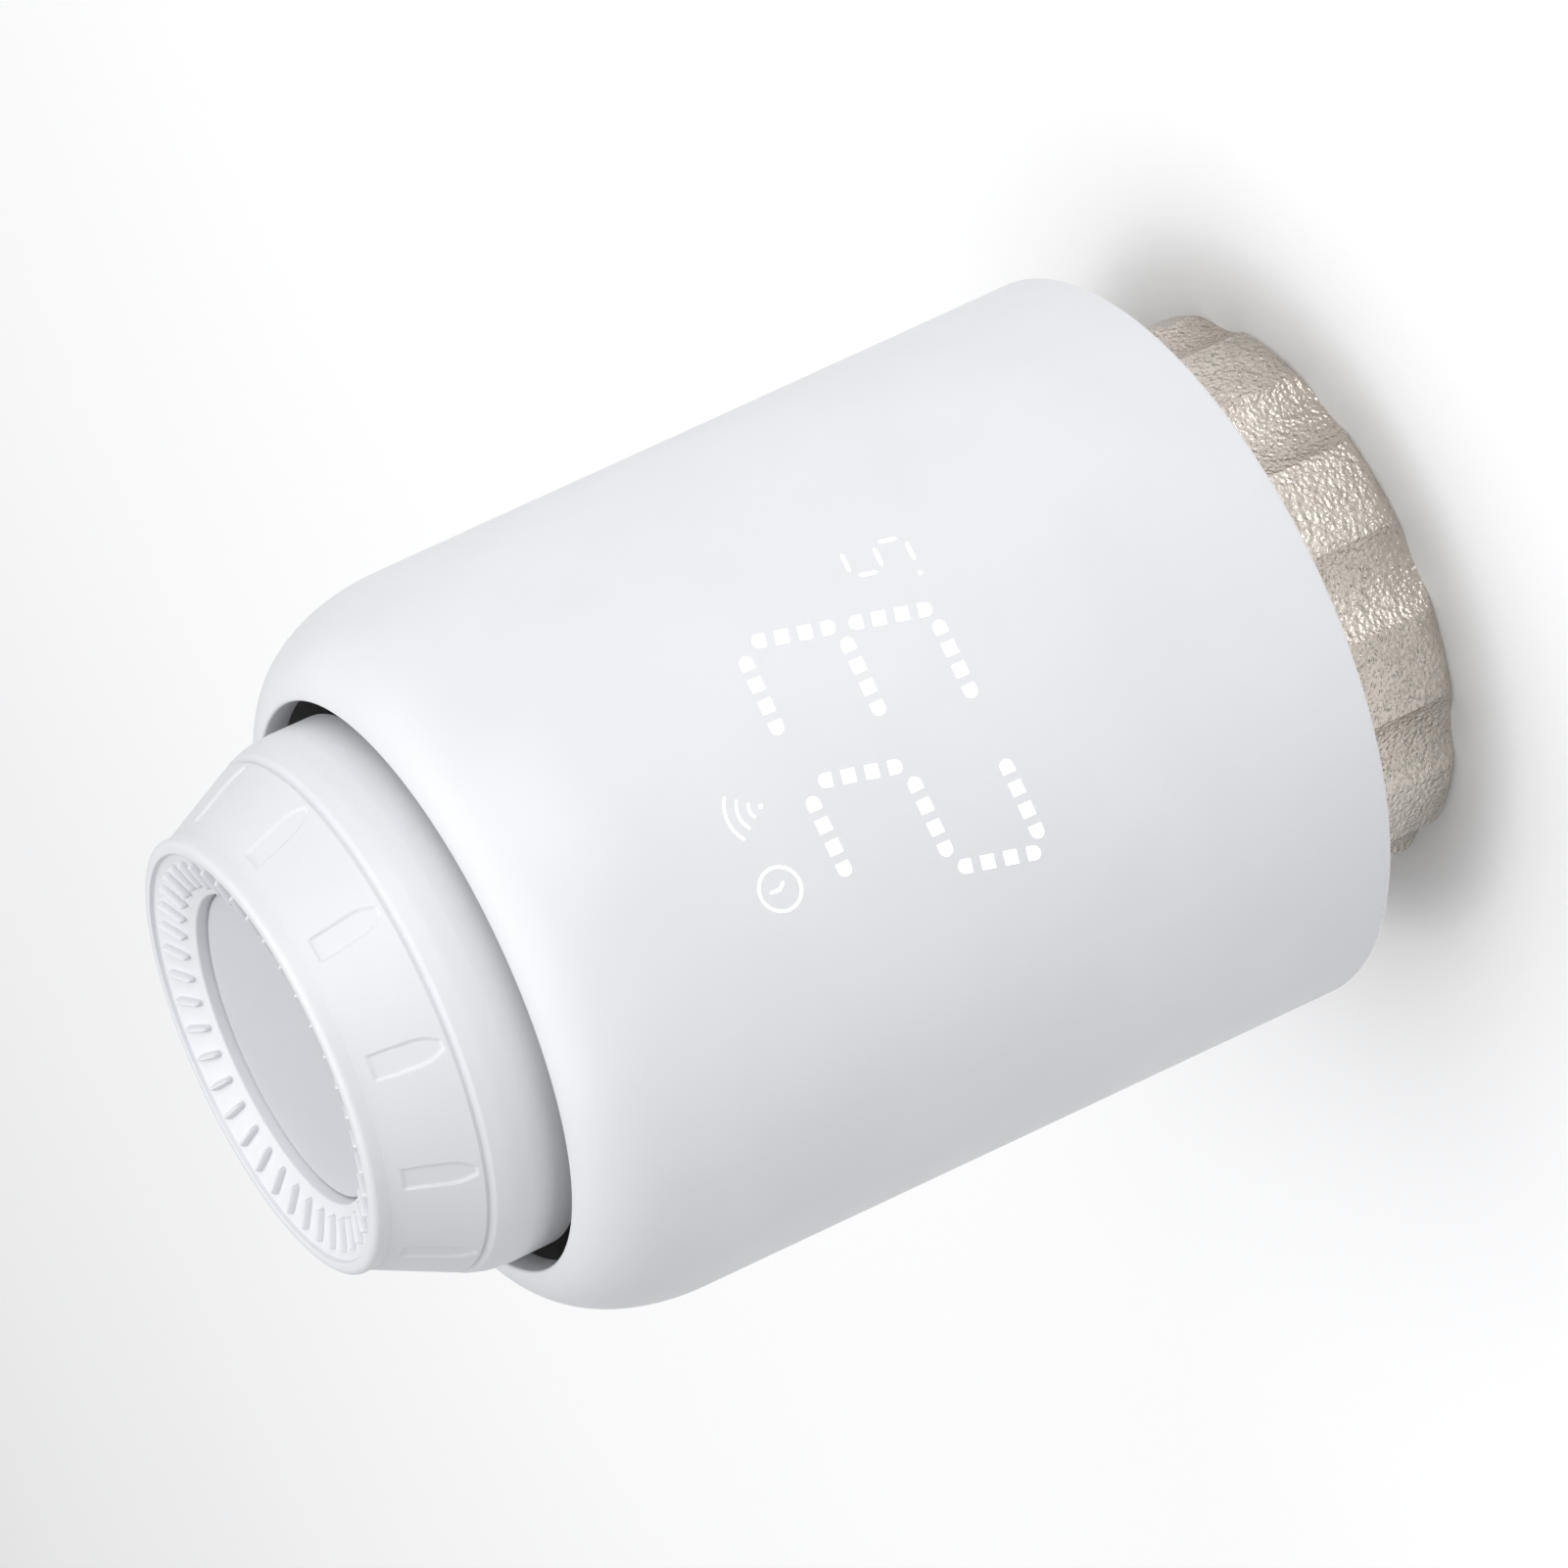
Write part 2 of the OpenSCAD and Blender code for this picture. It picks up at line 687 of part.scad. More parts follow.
module switch_plunger() {
    color("tomato") translate([0, 0, shaft_z0 - 0.9]) cylinder(r = 1.6, h = 0.9);
}

module knob_shaft() {
    color("silver") difference() {
        translate([0, 0, shaft_z0]) cylinder(r = encoder_r, h = 14.5);
        // flat that drives the knob
        translate([-5, 1.7, 67]) cube([10, 5, 20]);
    }
}

knob_z0 = 68;
skirt_z1 = 72.8;
cone_z0 = 74.4;
cone_z1 = 80.1;
floor_top = 77.2;
tick_r0 = 11.6;
tick_r1 = 13.9;
knob_outline = concat(
    [[skirt_r - 1.5, knob_z0], [skirt_r - 0.3, knob_z0], [skirt_r, knob_z0 + 0.3]],
    [for (i = [0:6]) let (a = 15 * i)
        [skirt_r - 0.65 * (1 - cos(a)), skirt_z1 + 0.9 * sin(a)]],
    [[cone_r0 - 0.05, cone_z0 - 0.5], [cone_r0, cone_z0]],
    [for (i = [0:5]) let (a = 18 * i)
        [face_r - 0.6 + 0.85 * cos(a), cone_z1 + (knob_top - cone_z1) * sin(a)]],
    [[face_r - 1, knob_top - 0.35], [11.1, knob_top - 1.6], [10.9, knob_top - 1.8],
     [10.9, floor_top], [0, floor_top], [0, floor_top - 1.4], [12.6, floor_top - 1.4],
     [14.2, cone_z1 - 4.6], [skirt_r - 2.2, cone_z0 - 1.4], [skirt_r - 1.5, skirt_z1 - 1]]
);
cone_tilt = atan((cone_r0 - face_r) / (cone_z1 - cone_z0));
module knob() {
    mark_w = 1.9;
    mark_l = 5;
    color("white") difference() {
        union() {
            rotate_extrude($fn = 128) polygon(knob_outline);
            // boss on the encoder's shaft, with ribs out to the skirt
            translate([0, 0, 66.2]) cylinder(r = 4.9, h = floor_top - 66.2 - 0.7);
            for (a = [0:60:300]) rotate(a) translate([4, -0.5, 70]) cube([12.6, 1, 3.5]);
            for (i = [0:ticks - 1]) rotate(i * 360 / ticks)
                translate([tick_r0, -0.2, knob_top - 1.4]) rotate([0, -20, 0])
                    cube([tick_r1 - tick_r0, 0.4, 0.42]);
        }
        // bore with a flat
        difference() {
            translate([0, 0, 66 - cut]) cylinder(r = encoder_r, h = 9.6);
            translate([-5, 1.7, 67]) cube([10, 5, 20]);
        }
        // recessed marks around the cone, flat end at the face
        for (i = [0:marks - 1]) rotate((i + 0.5) * 360 / marks - 90)
            translate([cone_r0 - 0.05, 0, cone_z0 + 0.1]) rotate([0, -cone_tilt, 0])
                translate([-0.22, 0, 0]) rotate([90, 0, 90]) linear_extrude(2)
                    polygon([[-0.35, 0.2], [0.35, 0.2], [mark_w / 2, 1.7], [mark_w / 2, mark_l],
                             [-mark_w / 2, mark_l], [-mark_w / 2, 1.7]]);
    }
}

module knob_cap() {
    dish = 160;
    color("gainsboro") translate([0, 0, floor_top]) difference() {
        cylinder(r = 10.85, h = 1.5);
        translate([0, 0, dish + 1.15]) sphere(r = dish, $fn = 256);
    }
}

sleeve();
base();
union_nut();
snap_ring();
push_pin();
output_gear();
thrust_washer();
gearbox_body();
bearing_plate();
gearbox_cover();
second_gear();
first_gear();
gear_axles();
gearbox_screws();
motor_can();
motor_end_cap();
motor_terminals();
motor_shaft();
motor_pinion();
motor_leads();
battery_holder();
battery_cells();
battery_springs();
bridge_contact();
top_contacts();
inner_frame();
frame_screws();
main_board();
light_box();
diffuser_film();
display_leds();
radio_module();
board_chips();
capacitor();
temperature_sensor();
board_header();
knob_board();
encoder_body();
switch_dome();
switch_plunger();
knob_shaft();
knob();
knob_cap();
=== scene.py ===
"""Motorised radiator valve head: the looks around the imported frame. Lengths are in millimetres
until a mesh is made, and every shape is worked out with numpy in the frame's own axes."""

import bpy
import numpy as np
from mathutils import Matrix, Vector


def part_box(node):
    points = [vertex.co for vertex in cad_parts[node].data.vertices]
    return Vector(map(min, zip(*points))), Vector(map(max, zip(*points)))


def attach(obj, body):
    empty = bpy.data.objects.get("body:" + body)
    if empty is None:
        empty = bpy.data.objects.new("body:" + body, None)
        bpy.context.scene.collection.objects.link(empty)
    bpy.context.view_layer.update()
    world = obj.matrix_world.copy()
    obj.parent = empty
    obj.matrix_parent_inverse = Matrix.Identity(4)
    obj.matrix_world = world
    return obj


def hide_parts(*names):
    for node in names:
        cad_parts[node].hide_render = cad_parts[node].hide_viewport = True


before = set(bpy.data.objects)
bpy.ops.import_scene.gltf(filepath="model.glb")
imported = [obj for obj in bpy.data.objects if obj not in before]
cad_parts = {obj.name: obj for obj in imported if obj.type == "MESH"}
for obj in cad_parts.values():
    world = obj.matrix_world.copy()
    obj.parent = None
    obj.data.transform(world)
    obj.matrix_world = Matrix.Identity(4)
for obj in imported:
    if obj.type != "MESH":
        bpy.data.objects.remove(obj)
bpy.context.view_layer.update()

MM = 0.001
TAU = 2 * np.pi


def span(node):
    """Lowest and highest corner of a CAD node, in millimetres."""
    low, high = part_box(node)
    return np.array(low) / MM, np.array(high) / MM


# ---- places taken from the frame ---------------------------------------------------------
CASING_LOW, CASING_HIGH = span("sleeve")
NUT_HIGH = span("union_nut")[1]
KNOB_LOW, KNOB_HIGH = span("knob")
CAP_LOW, CAP_HIGH = span("knob_cap")
PIN_LOW, PIN_HIGH = span("push_pin")
CELL_LOW, CELL_HIGH = span("battery_cells")

CASING_R = CASING_HIGH[0]
CASING_Z0 = CASING_LOW[2]
CASING_Z1 = CASING_HIGH[2]
TAPER = 0.73
NOSE_HEIGHT = 9.5
NOSE_R = CASING_R - TAPER
NOSE_Z = CASING_Z1 - NOSE_HEIGHT
OPENING_R = 20.25
WALL = 2.0


# ---- shapes ------------------------------------------------------------------------------
def grid_faces(rows, cols, wrap_rows=False, wrap_cols=True):
    """Quads of a grid of points, closed along either direction when asked."""
    r = np.arange(rows if wrap_rows else rows - 1)
    c = np.arange(cols if wrap_cols else cols - 1)
    r, c = np.meshgrid(r, c, indexing="ij")
    r2, c2 = (r + 1) % rows, (c + 1) % cols
    corners = [r * cols + c, r * cols + c2, r2 * cols + c2, r2 * cols + c]
    return np.stack(corners, -1).reshape(-1, 4)


def fan(centre, ring):
    """Triangles from one point to each side of a closed ring of points."""
    return np.stack([np.full(len(ring), centre), ring, np.roll(ring, -1)], -1)


def volume(points, faces):
    """Signed volume inside faces: the sum over triangles of a . (b x c) / 6."""
    total = 0.0
    for block in faces:
        for k in range(1, block.shape[1] - 1):
            a, b, c = points[block[:, 0]], points[block[:, k]], points[block[:, k + 1]]
            total += np.einsum("ij,ij->", a, np.cross(b, c)) / 6
    return total


def outward(points, faces):
    """The same shape with its faces turned to point outwards."""
    if volume(points, faces) < 0:
        faces = [block[:, ::-1] for block in faces]
    return points, faces


def together(shapes):
    """Several closed shapes as one."""
    points, faces, start = [], [], 0
    for p, blocks in shapes:
        points.append(p)
        faces += [block + start for block in blocks]
        start += len(p)
    return np.concatenate(points), faces


def moved(shape, by):
    return shape[0] + np.asarray(by, float), shape[1]


def turned(shape, degrees):
    """A shape turned about Z."""
    a = np.radians(degrees)
    turn = np.array([[np.cos(a), -np.sin(a), 0], [np.sin(a), np.cos(a), 0], [0, 0, 1]])
    return shape[0] @ turn.T, shape[1]


def around(shape, count, start=0.0):
    """count copies of a shape spread evenly about Z."""
    return together([turned(shape, start + 360 * i / count) for i in range(count)])


def angles(cols):
    return np.linspace(0, TAU, cols, endpoint=False)


def spun_ring(radius, height):
    """A closed ring. radius and height are rows x columns: the rows run round its section, and the
    columns round Z."""
    rows, cols = radius.shape
    a = angles(cols)[None]
    p = np.stack([radius * np.cos(a), radius * np.sin(a), height + 0 * a], -1).reshape(-1, 3)
    return outward(p, [grid_faces(rows, cols, wrap_rows=True)])


def spun_solid(radius, height, z_start, z_end):
    """A closed solid. Its rows run from a pole on Z at z_start to another at z_end."""
    rows, cols = radius.shape
    a = angles(cols)[None]
    p = np.stack([radius * np.cos(a), radius * np.sin(a), height + 0 * a], -1).reshape(-1, 3)
    p = np.concatenate([p, [[0, 0, z_start], [0, 0, z_end]]])
    last = (rows - 1) * cols
    first_fan = fan(rows * cols, np.arange(cols))[:, ::-1]
    last_fan = fan(rows * cols + 1, last + np.arange(cols))
    return outward(p, [grid_faces(rows, cols), first_fan, last_fan])


def rounded(corners, steps=6, closed=True):
    """An outline through corners (x, y, radius), each corner eased by an arc of that radius: the
    arc starts radius / tan(half the corner's angle) before the corner."""
    corners = np.array(corners, float)
    points = []
    for i, (x, y, r) in enumerate(corners):
        here = np.array([x, y])
        if r <= 0 or (not closed and i in (0, len(corners) - 1)):
            points.append(here[None])
            continue
        before = corners[i - 1, :2] - here
        after = corners[(i + 1) % len(corners), :2] - here
        before /= np.linalg.norm(before)
        after /= np.linalg.norm(after)
        half = np.arccos(np.clip(before @ after, -1, 1)) / 2
        middle = before + after
        centre = here + middle / np.linalg.norm(middle) * r / np.sin(half)
        start = here + before * r / np.tan(half) - centre
        end = here + after * r / np.tan(half) - centre
        t = np.linspace(0, 1, steps)[:, None]
        turn = np.pi - 2 * half
        arc = (start * np.sin((1 - t) * turn) + end * np.sin(t * turn)) / np.sin(turn)
        points.append(centre + arc)
    return np.concatenate(points)


def filled(outline, step):
    """The outline with points added so that none are further apart than step."""
    lengths = np.linalg.norm(np.diff(outline, axis=0), axis=1)
    counts = np.maximum(1, np.ceil(lengths / step).astype(int))
    index = np.repeat(np.arange(len(lengths)), counts)
    first = np.repeat(np.cumsum(counts) - counts, counts)
    t = ((np.arange(counts.sum()) - first) / counts[index])[:, None]
    points = outline[index] * (1 - t) + outline[index + 1] * t
    return np.concatenate([points, outline[-1:]])


def tube(path, radius, sides=12):
    """A round bar along a path. Each ring stands square to the path, turned as little as possible
    from a fixed direction that the path never points along."""
    path = np.asarray(path, float)
    along = np.gradient(path, axis=0)
    along /= np.linalg.norm(along, axis=1)[:, None]
    fixed = np.array([0.13, 0.21, 0.97])
    one = np.cross(along, fixed)
    one /= np.linalg.norm(one, axis=1)[:, None]
    two = np.cross(along, one)
    a = angles(sides)
    rim = np.cos(a)[None, :, None] * one[:, None] + np.sin(a)[None, :, None] * two[:, None]
    p = (path[:, None] + radius * rim).reshape(-1, 3)
    rows = len(path)
    p = np.concatenate([p, path[:1], path[-1:]])
    first_fan = fan(rows * sides, np.arange(sides))[:, ::-1]
    last_fan = fan(rows * sides + 1, (rows - 1) * sides + np.arange(sides))
    return outward(p, [grid_faces(rows, sides), first_fan, last_fan])


def smooth_path(points, each=12):
    """A Catmull-Rom curve through points: each stretch is the cubic whose end slopes are half the
    chord between its neighbours."""
    p = np.asarray(points, float)
    p = np.concatenate([2 * p[:1] - p[1:2], p, 2 * p[-1:] - p[-2:-1]])
    t = np.linspace(0, 1, each, endpoint=False)[None, :, None]
    a, b, c, d = p[:-3, None], p[1:-2, None], p[2:-1, None], p[3:, None]
    curve = 0.5 * (2 * b + (c - a) * t + (2 * a - 5 * b + 4 * c - d) * t**2
                   + (3 * b - a - 3 * c + d) * t**3)
    return np.concatenate([curve.reshape(-1, 3), p[-2:-1]])


def slab(centre, size, edge=0.12):
    """A box with eased edges: a rounded square section whose ends are drawn in by the edge's
    width."""
    half = np.asarray(size, float) / 2
    outline = rounded([(half[0], -half[1], edge), (half[0], half[1], edge),
                       (-half[0], half[1], edge), (-half[0], -half[1], edge)], steps=3)
    levels = np.array([-half[2], -half[2] + edge, half[2] - edge, half[2]])
    shrink = np.array([edge, 0, 0, edge])
    scale = (half[:2] - shrink[:, None]) / half[:2]
    xy = outline[None] * scale[:, None]
    z = np.broadcast_to(levels[:, None, None], xy.shape[:2] + (1,))
    n = len(outline)
    p = np.concatenate([np.concatenate([xy, z], -1).reshape(-1, 3),
                        [[0, 0, levels[0]], [0, 0, levels[-1]]]])
    faces = [grid_faces(4, n), fan(4 * n, np.arange(n))[:, ::-1],
             fan(4 * n + 1, 3 * n + np.arange(n))]
    return moved(outward(p, faces), centre)


def lathe(section, z_start, z_end, cols=96):
    """A closed solid spun from a section of (radius, height) whose ends lie on Z."""
    return spun_solid(np.repeat(section[:, :1], cols, 1), np.repeat(section[:, 1:], cols, 1),
                      z_start, z_end)


def spun_section(section, cols):
    """A closed ring spun from a section of (radius, height)."""
    return spun_ring(np.repeat(section[:, :1], cols, 1), np.repeat(section[:, 1:], cols, 1))


def make(name, shape, finish, body, replaces=(), sharp=32):
    """Puts a shape into a mesh that rides on a body. Edges sharper than sharp degrees stay
    sharp."""
    points, faces = shape
    mesh = bpy.data.meshes.new(name)
    sizes = np.concatenate([np.full(len(b), b.shape[1]) for b in faces]).astype(np.int32)
    corners = np.concatenate([b.reshape(-1) for b in faces]).astype(np.int32)
    mesh.vertices.add(len(points))
    mesh.vertices.foreach_set("co", (points * MM).astype(np.float32).reshape(-1))
    mesh.loops.add(len(corners))
    mesh.loops.foreach_set("vertex_index", corners)
    mesh.polygons.add(len(sizes))
    mesh.polygons.foreach_set("loop_start", (np.cumsum(sizes) - sizes).astype(np.int32))
    mesh.polygons.foreach_set("use_smooth", np.ones(len(sizes), bool))
    mesh.update(calc_edges=True)
    mesh.set_sharp_from_angle(angle=np.radians(sharp))
    piece = bpy.data.objects.new(name, mesh)
    bpy.context.scene.collection.objects.link(piece)
    mesh.materials.append(finish)
    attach(piece, body)
    if replaces:
        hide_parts(*replaces)


# ---- finishes ----------------------------------------------------------------------------
class Finish:
    """A procedural material: a colour that wanders, roughness that wanders and a fine bump, all on
    object coordinates."""

    def __init__(self, name, colour, roughness, metallic=0.0, **constants):
        self.material = bpy.data.materials.new(name)
        self.material.use_nodes = True
        self.nodes = self.material.node_tree.nodes
        self.links = self.material.node_tree.links
        self.shader = self.nodes["Principled BSDF"]
        self.colour = (*colour, 1.0)
        self.set("Base Color", self.colour)
        self.set("Roughness", roughness)
        self.set("Metallic", metallic)
        for socket, value in constants.items():
            self.set(socket.replace("_", " "), value)
        self.roughness = roughness
        self.place = self.nodes.new("ShaderNodeTexCoord").outputs["Object"]
        self.normal = None

    def set(self, socket, value):
        self.shader.inputs[socket].default_value = value

    def noise(self, size, detail=3.0, roughness=0.55, stretch=(1, 1, 1)):
        """Noise whose lumps are about size millimetres, drawn out along an axis by stretch."""
        scale = self.nodes.new("ShaderNodeMapping")
        scale.inputs["Scale"].default_value = [1 / (size * MM * s) for s in stretch]
        self.links.new(self.place, scale.inputs["Vector"])
        node = self.nodes.new("ShaderNodeTexNoise")
        node.inputs["Scale"].default_value = 1.0
        node.inputs["Detail"].default_value = detail
        node.inputs["Roughness"].default_value = roughness
        self.links.new(scale.outputs[0], node.inputs["Vector"])
        return node.outputs["Fac"]

    def ramp(self, value, low, high, to_low, to_high):
        """value from low..high mapped to to_low..to_high."""
        node = self.nodes.new("ShaderNodeMapRange")
        for socket, number in zip(("From Min", "From Max", "To Min", "To Max"),
                                  (low, high, to_low, to_high)):
            node.inputs[socket].default_value = number
        self.links.new(value, node.inputs["Value"])
        return node.outputs["Result"]

    def tint(self, value, other, low=0.35, high=0.65):
        """The colour runs to other as value goes from low to high."""
        node = self.nodes.new("ShaderNodeValToRGB")
        first, last = node.color_ramp.elements
        first.position, last.position = low, high
        first.color, last.color = self.colour, (*other, 1.0)
        self.links.new(value, node.inputs["Fac"])
        self.links.new(node.outputs["Color"], self.shader.inputs["Base Color"])
        return self

    def gloss(self, value, amount):
        """Roughness wanders by amount either way."""
        out = self.ramp(value, 0.3, 0.7, self.roughness - amount, self.roughness + amount)
        self.links.new(out, self.shader.inputs["Roughness"])
        return self

    def bump(self, value, depth, strength=1.0):
        """A bump depth millimetres high, on top of any earlier one."""
        node = self.nodes.new("ShaderNodeBump")
        node.inputs["Strength"].default_value = strength
        node.inputs["Distance"].default_value = depth * MM
        self.links.new(value, node.inputs["Height"])
        if self.normal:
            self.links.new(self.normal, node.inputs["Normal"])
        self.normal = node.outputs["Normal"]
        self.links.new(self.normal, self.shader.inputs["Normal"])
        return self


def plastic(name, colour, roughness, grain, depth, shade=0.97):
    """Moulded plastic: a broad drift of tone and gloss, and the mould's fine spark-eroded grain."""
    f = Finish(name, colour, roughness)
    f.tint(f.noise(14, 2), [c * shade for c in colour]).gloss(f.noise(5, 4), 0.03)
    return f.bump(f.noise(grain, 2), depth).material


def metal(name, colour, roughness, stretch=(1, 1, 1), line=0.12, depth=0.004, shade=0.8):
    """Drawn or turned metal: fine lines along the axis that stretch names, and smudged gloss."""
    f = Finish(name, colour, roughness, metallic=1.0)
    f.tint(f.noise(1.5, 4), [c * shade for c in colour]).gloss(f.noise(0.8, 4), 0.06)
    return f.bump(f.noise(line, 3, 0.6, stretch), depth).material


def blasted_nickel():
    """Nickel over a sand-blasted casting: fine rounded grains that glint in the light."""
    f = Finish("blasted_nickel", (0.71, 0.655, 0.59), 0.25, metallic=1.0)
    f.tint(f.noise(2.5, 3), (0.62, 0.57, 0.51))
    f.gloss(f.noise(0.9, 2), 0.06)
    f.bump(f.noise(0.33, 1.5, 0.4), 0.2, 1.0)
    return f.bump(f.noise(1.1, 2), 0.12, 0.6).material


def board_green():
    """Solder mask with its slight orange peel, a little lighter in patches of random tone."""
    f = Finish("solder_mask", (0.012, 0.085, 0.045), 0.3, Coat_Weight=0.3)
    f.tint(f.noise(2.2, 3), (0.018, 0.112, 0.058), 0.45, 0.55).gloss(f.noise(2, 3), 0.05)
    return f.bump(f.noise(0.5, 2), 0.01).material


def cell_jacket():
    """Printed shrink sleeve: a dark, glossy body with fine wrinkles along the cell."""
    f = Finish("cell_jacket", (0.02, 0.05, 0.035), 0.28, Coat_Weight=0.4)
    f.tint(f.noise(6, 2), (0.03, 0.075, 0.05)).gloss(f.noise(3, 3), 0.05)
    return f.bump(f.noise(2.5, 3, 0.5, (1, 1, 5)), 0.02).material


def lit():
    """White light coming through the casing wall, a touch uneven as it is behind plastic."""
    f = Finish("display_light", (0.95, 0.96, 0.98), 0.5)
    f.set("Emission Color", (1.0, 1.0, 1.0, 1.0))
    f.set("Emission Strength", 0.55)
    return f.tint(f.noise(0.6, 2), (0.9, 0.92, 0.95)).gloss(f.noise(0.5, 2), 0.04).material


CASING_WHITE = plastic("casing_white", (0.75, 0.757, 0.78), 0.42, 0.10, 0.004)
KNOB_WHITE = plastic("knob_white", (0.745, 0.75, 0.78), 0.40, 0.22, 0.010)
CAP_WHITE = plastic("cap_white", (0.56, 0.567, 0.597), 0.48, 0.25, 0.012)
FRAME_WHITE = plastic("frame_white", (0.66, 0.66, 0.64), 0.45, 0.3, 0.01)
BOX_WHITE = plastic("box_white", (0.85, 0.85, 0.85), 0.5, 0.3, 0.01)
ACETAL = plastic("natural_acetal", (0.72, 0.68, 0.58), 0.38, 0.4, 0.008)
GLASS_FILLED = plastic("glass_filled", (0.42, 0.38, 0.31), 0.55, 0.18, 0.02, 0.85)
BLACK_PLASTIC = plastic("black_plastic", (0.018, 0.018, 0.02), 0.4, 0.2, 0.01, 0.8)
RED_PLASTIC = plastic("red_plastic", (0.42, 0.05, 0.03), 0.4, 0.2, 0.01, 0.85)
CHIP_BLACK = plastic("chip_black", (0.02, 0.02, 0.023), 0.55, 0.12, 0.01, 0.8)
FILM = plastic("film", (0.75, 0.78, 0.82), 0.25, 0.5, 0.004)
RED_PVC = plastic("red_pvc", (0.38, 0.02, 0.015), 0.35, 0.5, 0.01, 0.85)
BLUE_SLEEVE = plastic("blue_sleeve", (0.012, 0.018, 0.07), 0.3, 0.6, 0.01, 0.8)
BROWN_EPOXY = plastic("brown_epoxy", (0.06, 0.03, 0.015), 0.25, 0.6, 0.01, 0.8)
JACKET = cell_jacket()
GREEN_MASK = board_green()
NICKEL = blasted_nickel()
LIGHT = lit()
STEEL = metal("bright_steel", (0.58, 0.58, 0.58), 0.26, (1, 1, 12))
CAN_STEEL = metal("can_steel", (0.5, 0.51, 0.53), 0.32, (10, 10, 1))
SPRING_STEEL = metal("spring_nickel", (0.66, 0.64, 0.6), 0.24)
BRASS = metal("turned_brass", (0.68, 0.47, 0.2), 0.28, (1, 1, 10))
TIN_PLATE = metal("tin_plate", (0.6, 0.6, 0.58), 0.3, (8, 1, 1))
COPPER_PRINT = metal("copper_print", (0.55, 0.27, 0.12), 0.35, (1, 1, 6), 0.3, 0.004)

NODE_FINISH = {
    "base": FRAME_WHITE, "snap_ring": STEEL, "output_gear": ACETAL, "thrust_washer": STEEL,
    "gearbox_body": FRAME_WHITE, "bearing_plate": FRAME_WHITE, "gearbox_cover": FRAME_WHITE,
    "second_gear": ACETAL, "first_gear": ACETAL, "gear_axles": STEEL, "gearbox_screws": STEEL,
    "motor_can": CAN_STEEL, "motor_end_cap": BLACK_PLASTIC, "motor_terminals": BRASS,
    "motor_shaft": STEEL, "motor_pinion": BRASS, "battery_holder": FRAME_WHITE,
    "bridge_contact": SPRING_STEEL, "top_contacts": SPRING_STEEL, "inner_frame": FRAME_WHITE,
    "frame_screws": STEEL, "main_board": GREEN_MASK, "light_box": BOX_WHITE, "diffuser_film": FILM,
    "display_leds": LIGHT, "radio_module": TIN_PLATE, "board_chips": CHIP_BLACK,
    "capacitor": BLUE_SLEEVE, "temperature_sensor": BROWN_EPOXY, "board_header": CHIP_BLACK,
    "knob_board": GREEN_MASK, "encoder_body": BLACK_PLASTIC, "switch_dome": SPRING_STEEL,
    "switch_plunger": RED_PLASTIC, "knob_shaft": STEEL, "motor_leads": RED_PVC,
    "battery_springs": SPRING_STEEL,
}
for name, finish in NODE_FINISH.items():
    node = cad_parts[name]
    node.data.materials.clear()
    node.data.materials.append(finish)


# ---- casing --------------------------------------------------------------------------------
def casing_radius(z):
    """Outer radius at height z: a straight taper, then a quarter ellipse over the nose."""
    z = np.asarray(z, float)
    taper = CASING_R + (NOSE_R - CASING_R) * (z - CASING_Z0) / (NOSE_Z - CASING_Z0)
    rise = np.clip((z - NOSE_Z) / (CASING_Z1 - NOSE_Z), 0, 1)
    nose = OPENING_R + (NOSE_R - OPENING_R) * np.sqrt(1 - rise**2)
    return np.where(z <= NOSE_Z, taper, nose)


def casing():
    """The section runs up the outside, over the nose, in at the opening and down the inside."""
    foot = rounded([(CASING_R - WALL, CASING_Z0, 0), (CASING_R, CASING_Z0, 0.45),
                    (NOSE_R, NOSE_Z, 0)], closed=False)[1:-1]
    nose_end = 84
    a = np.radians(np.linspace(0, nose_end, 44))
    nose = np.stack([OPENING_R + (NOSE_R - OPENING_R) * np.cos(a),
                     NOSE_Z + (CASING_Z1 - NOSE_Z) * np.sin(a)], -1)
    rim = rounded([(*nose[-1], 0), (OPENING_R, CASING_Z1, 0.22),
                   (OPENING_R, CASING_Z1 - WALL, 0)], closed=False)[1:-1]
    # thinner there, to stay clear of the battery holder's corners
    b = np.radians(np.linspace(90, 0, 24))
    thin = WALL - 0.1
    inside_z = NOSE_Z - 1
    inside = np.stack([OPENING_R + (NOSE_R - thin - OPENING_R) * np.cos(b),
                       inside_z + (CASING_Z1 - thin - inside_z) * np.sin(b)], -1)
    bottom = rounded([(*inside[-1], 0), (CASING_R - WALL, CASING_Z0, 0.3),
                      (CASING_R, CASING_Z0, 0)], closed=False)[1:-1]
    shell = spun_section(np.concatenate([foot, nose, rim, inside, bottom]), 360)
    key = slab((0, CASING_R - WALL - 0.25, CASING_Z0 + 3.1), (2, 1.3, 5))
    make("casing_shell", together([shell, key]), CASING_WHITE, "casing", ["sleeve"])


# ---- display light -------------------------------------------------------------------------
DIGIT_Z = 42.165
DIGIT_X = 4.92
DIGITS_RIGHT = 0.14
DIGIT_W = 7.2
DIGIT_H = 12.88
MIDDLE_DROP = 0.29
SLANT = np.tan(np.radians(13.1))
LEVEL, LEANING = (1, 0), (SLANT, 1)
WALL_SAG = 0.384
DASH = 0.92
LYING_PITCH = 1.515
STANDING_PITCH = 1.59
SMALL_X, SMALL_Z = 11.65, 37.4
SMALL_W, SMALL_H = 2.0, 4.37
POINT = 0.3
WAVES_X, WAVES_Z = 0.22, 51.86
CLOCK_X, CLOCK_Z = -4.98, 53.06
HAND_WIDE = 0.2
GLOW_LIFT = 0.012
GLOW_DEPTH = 0.08


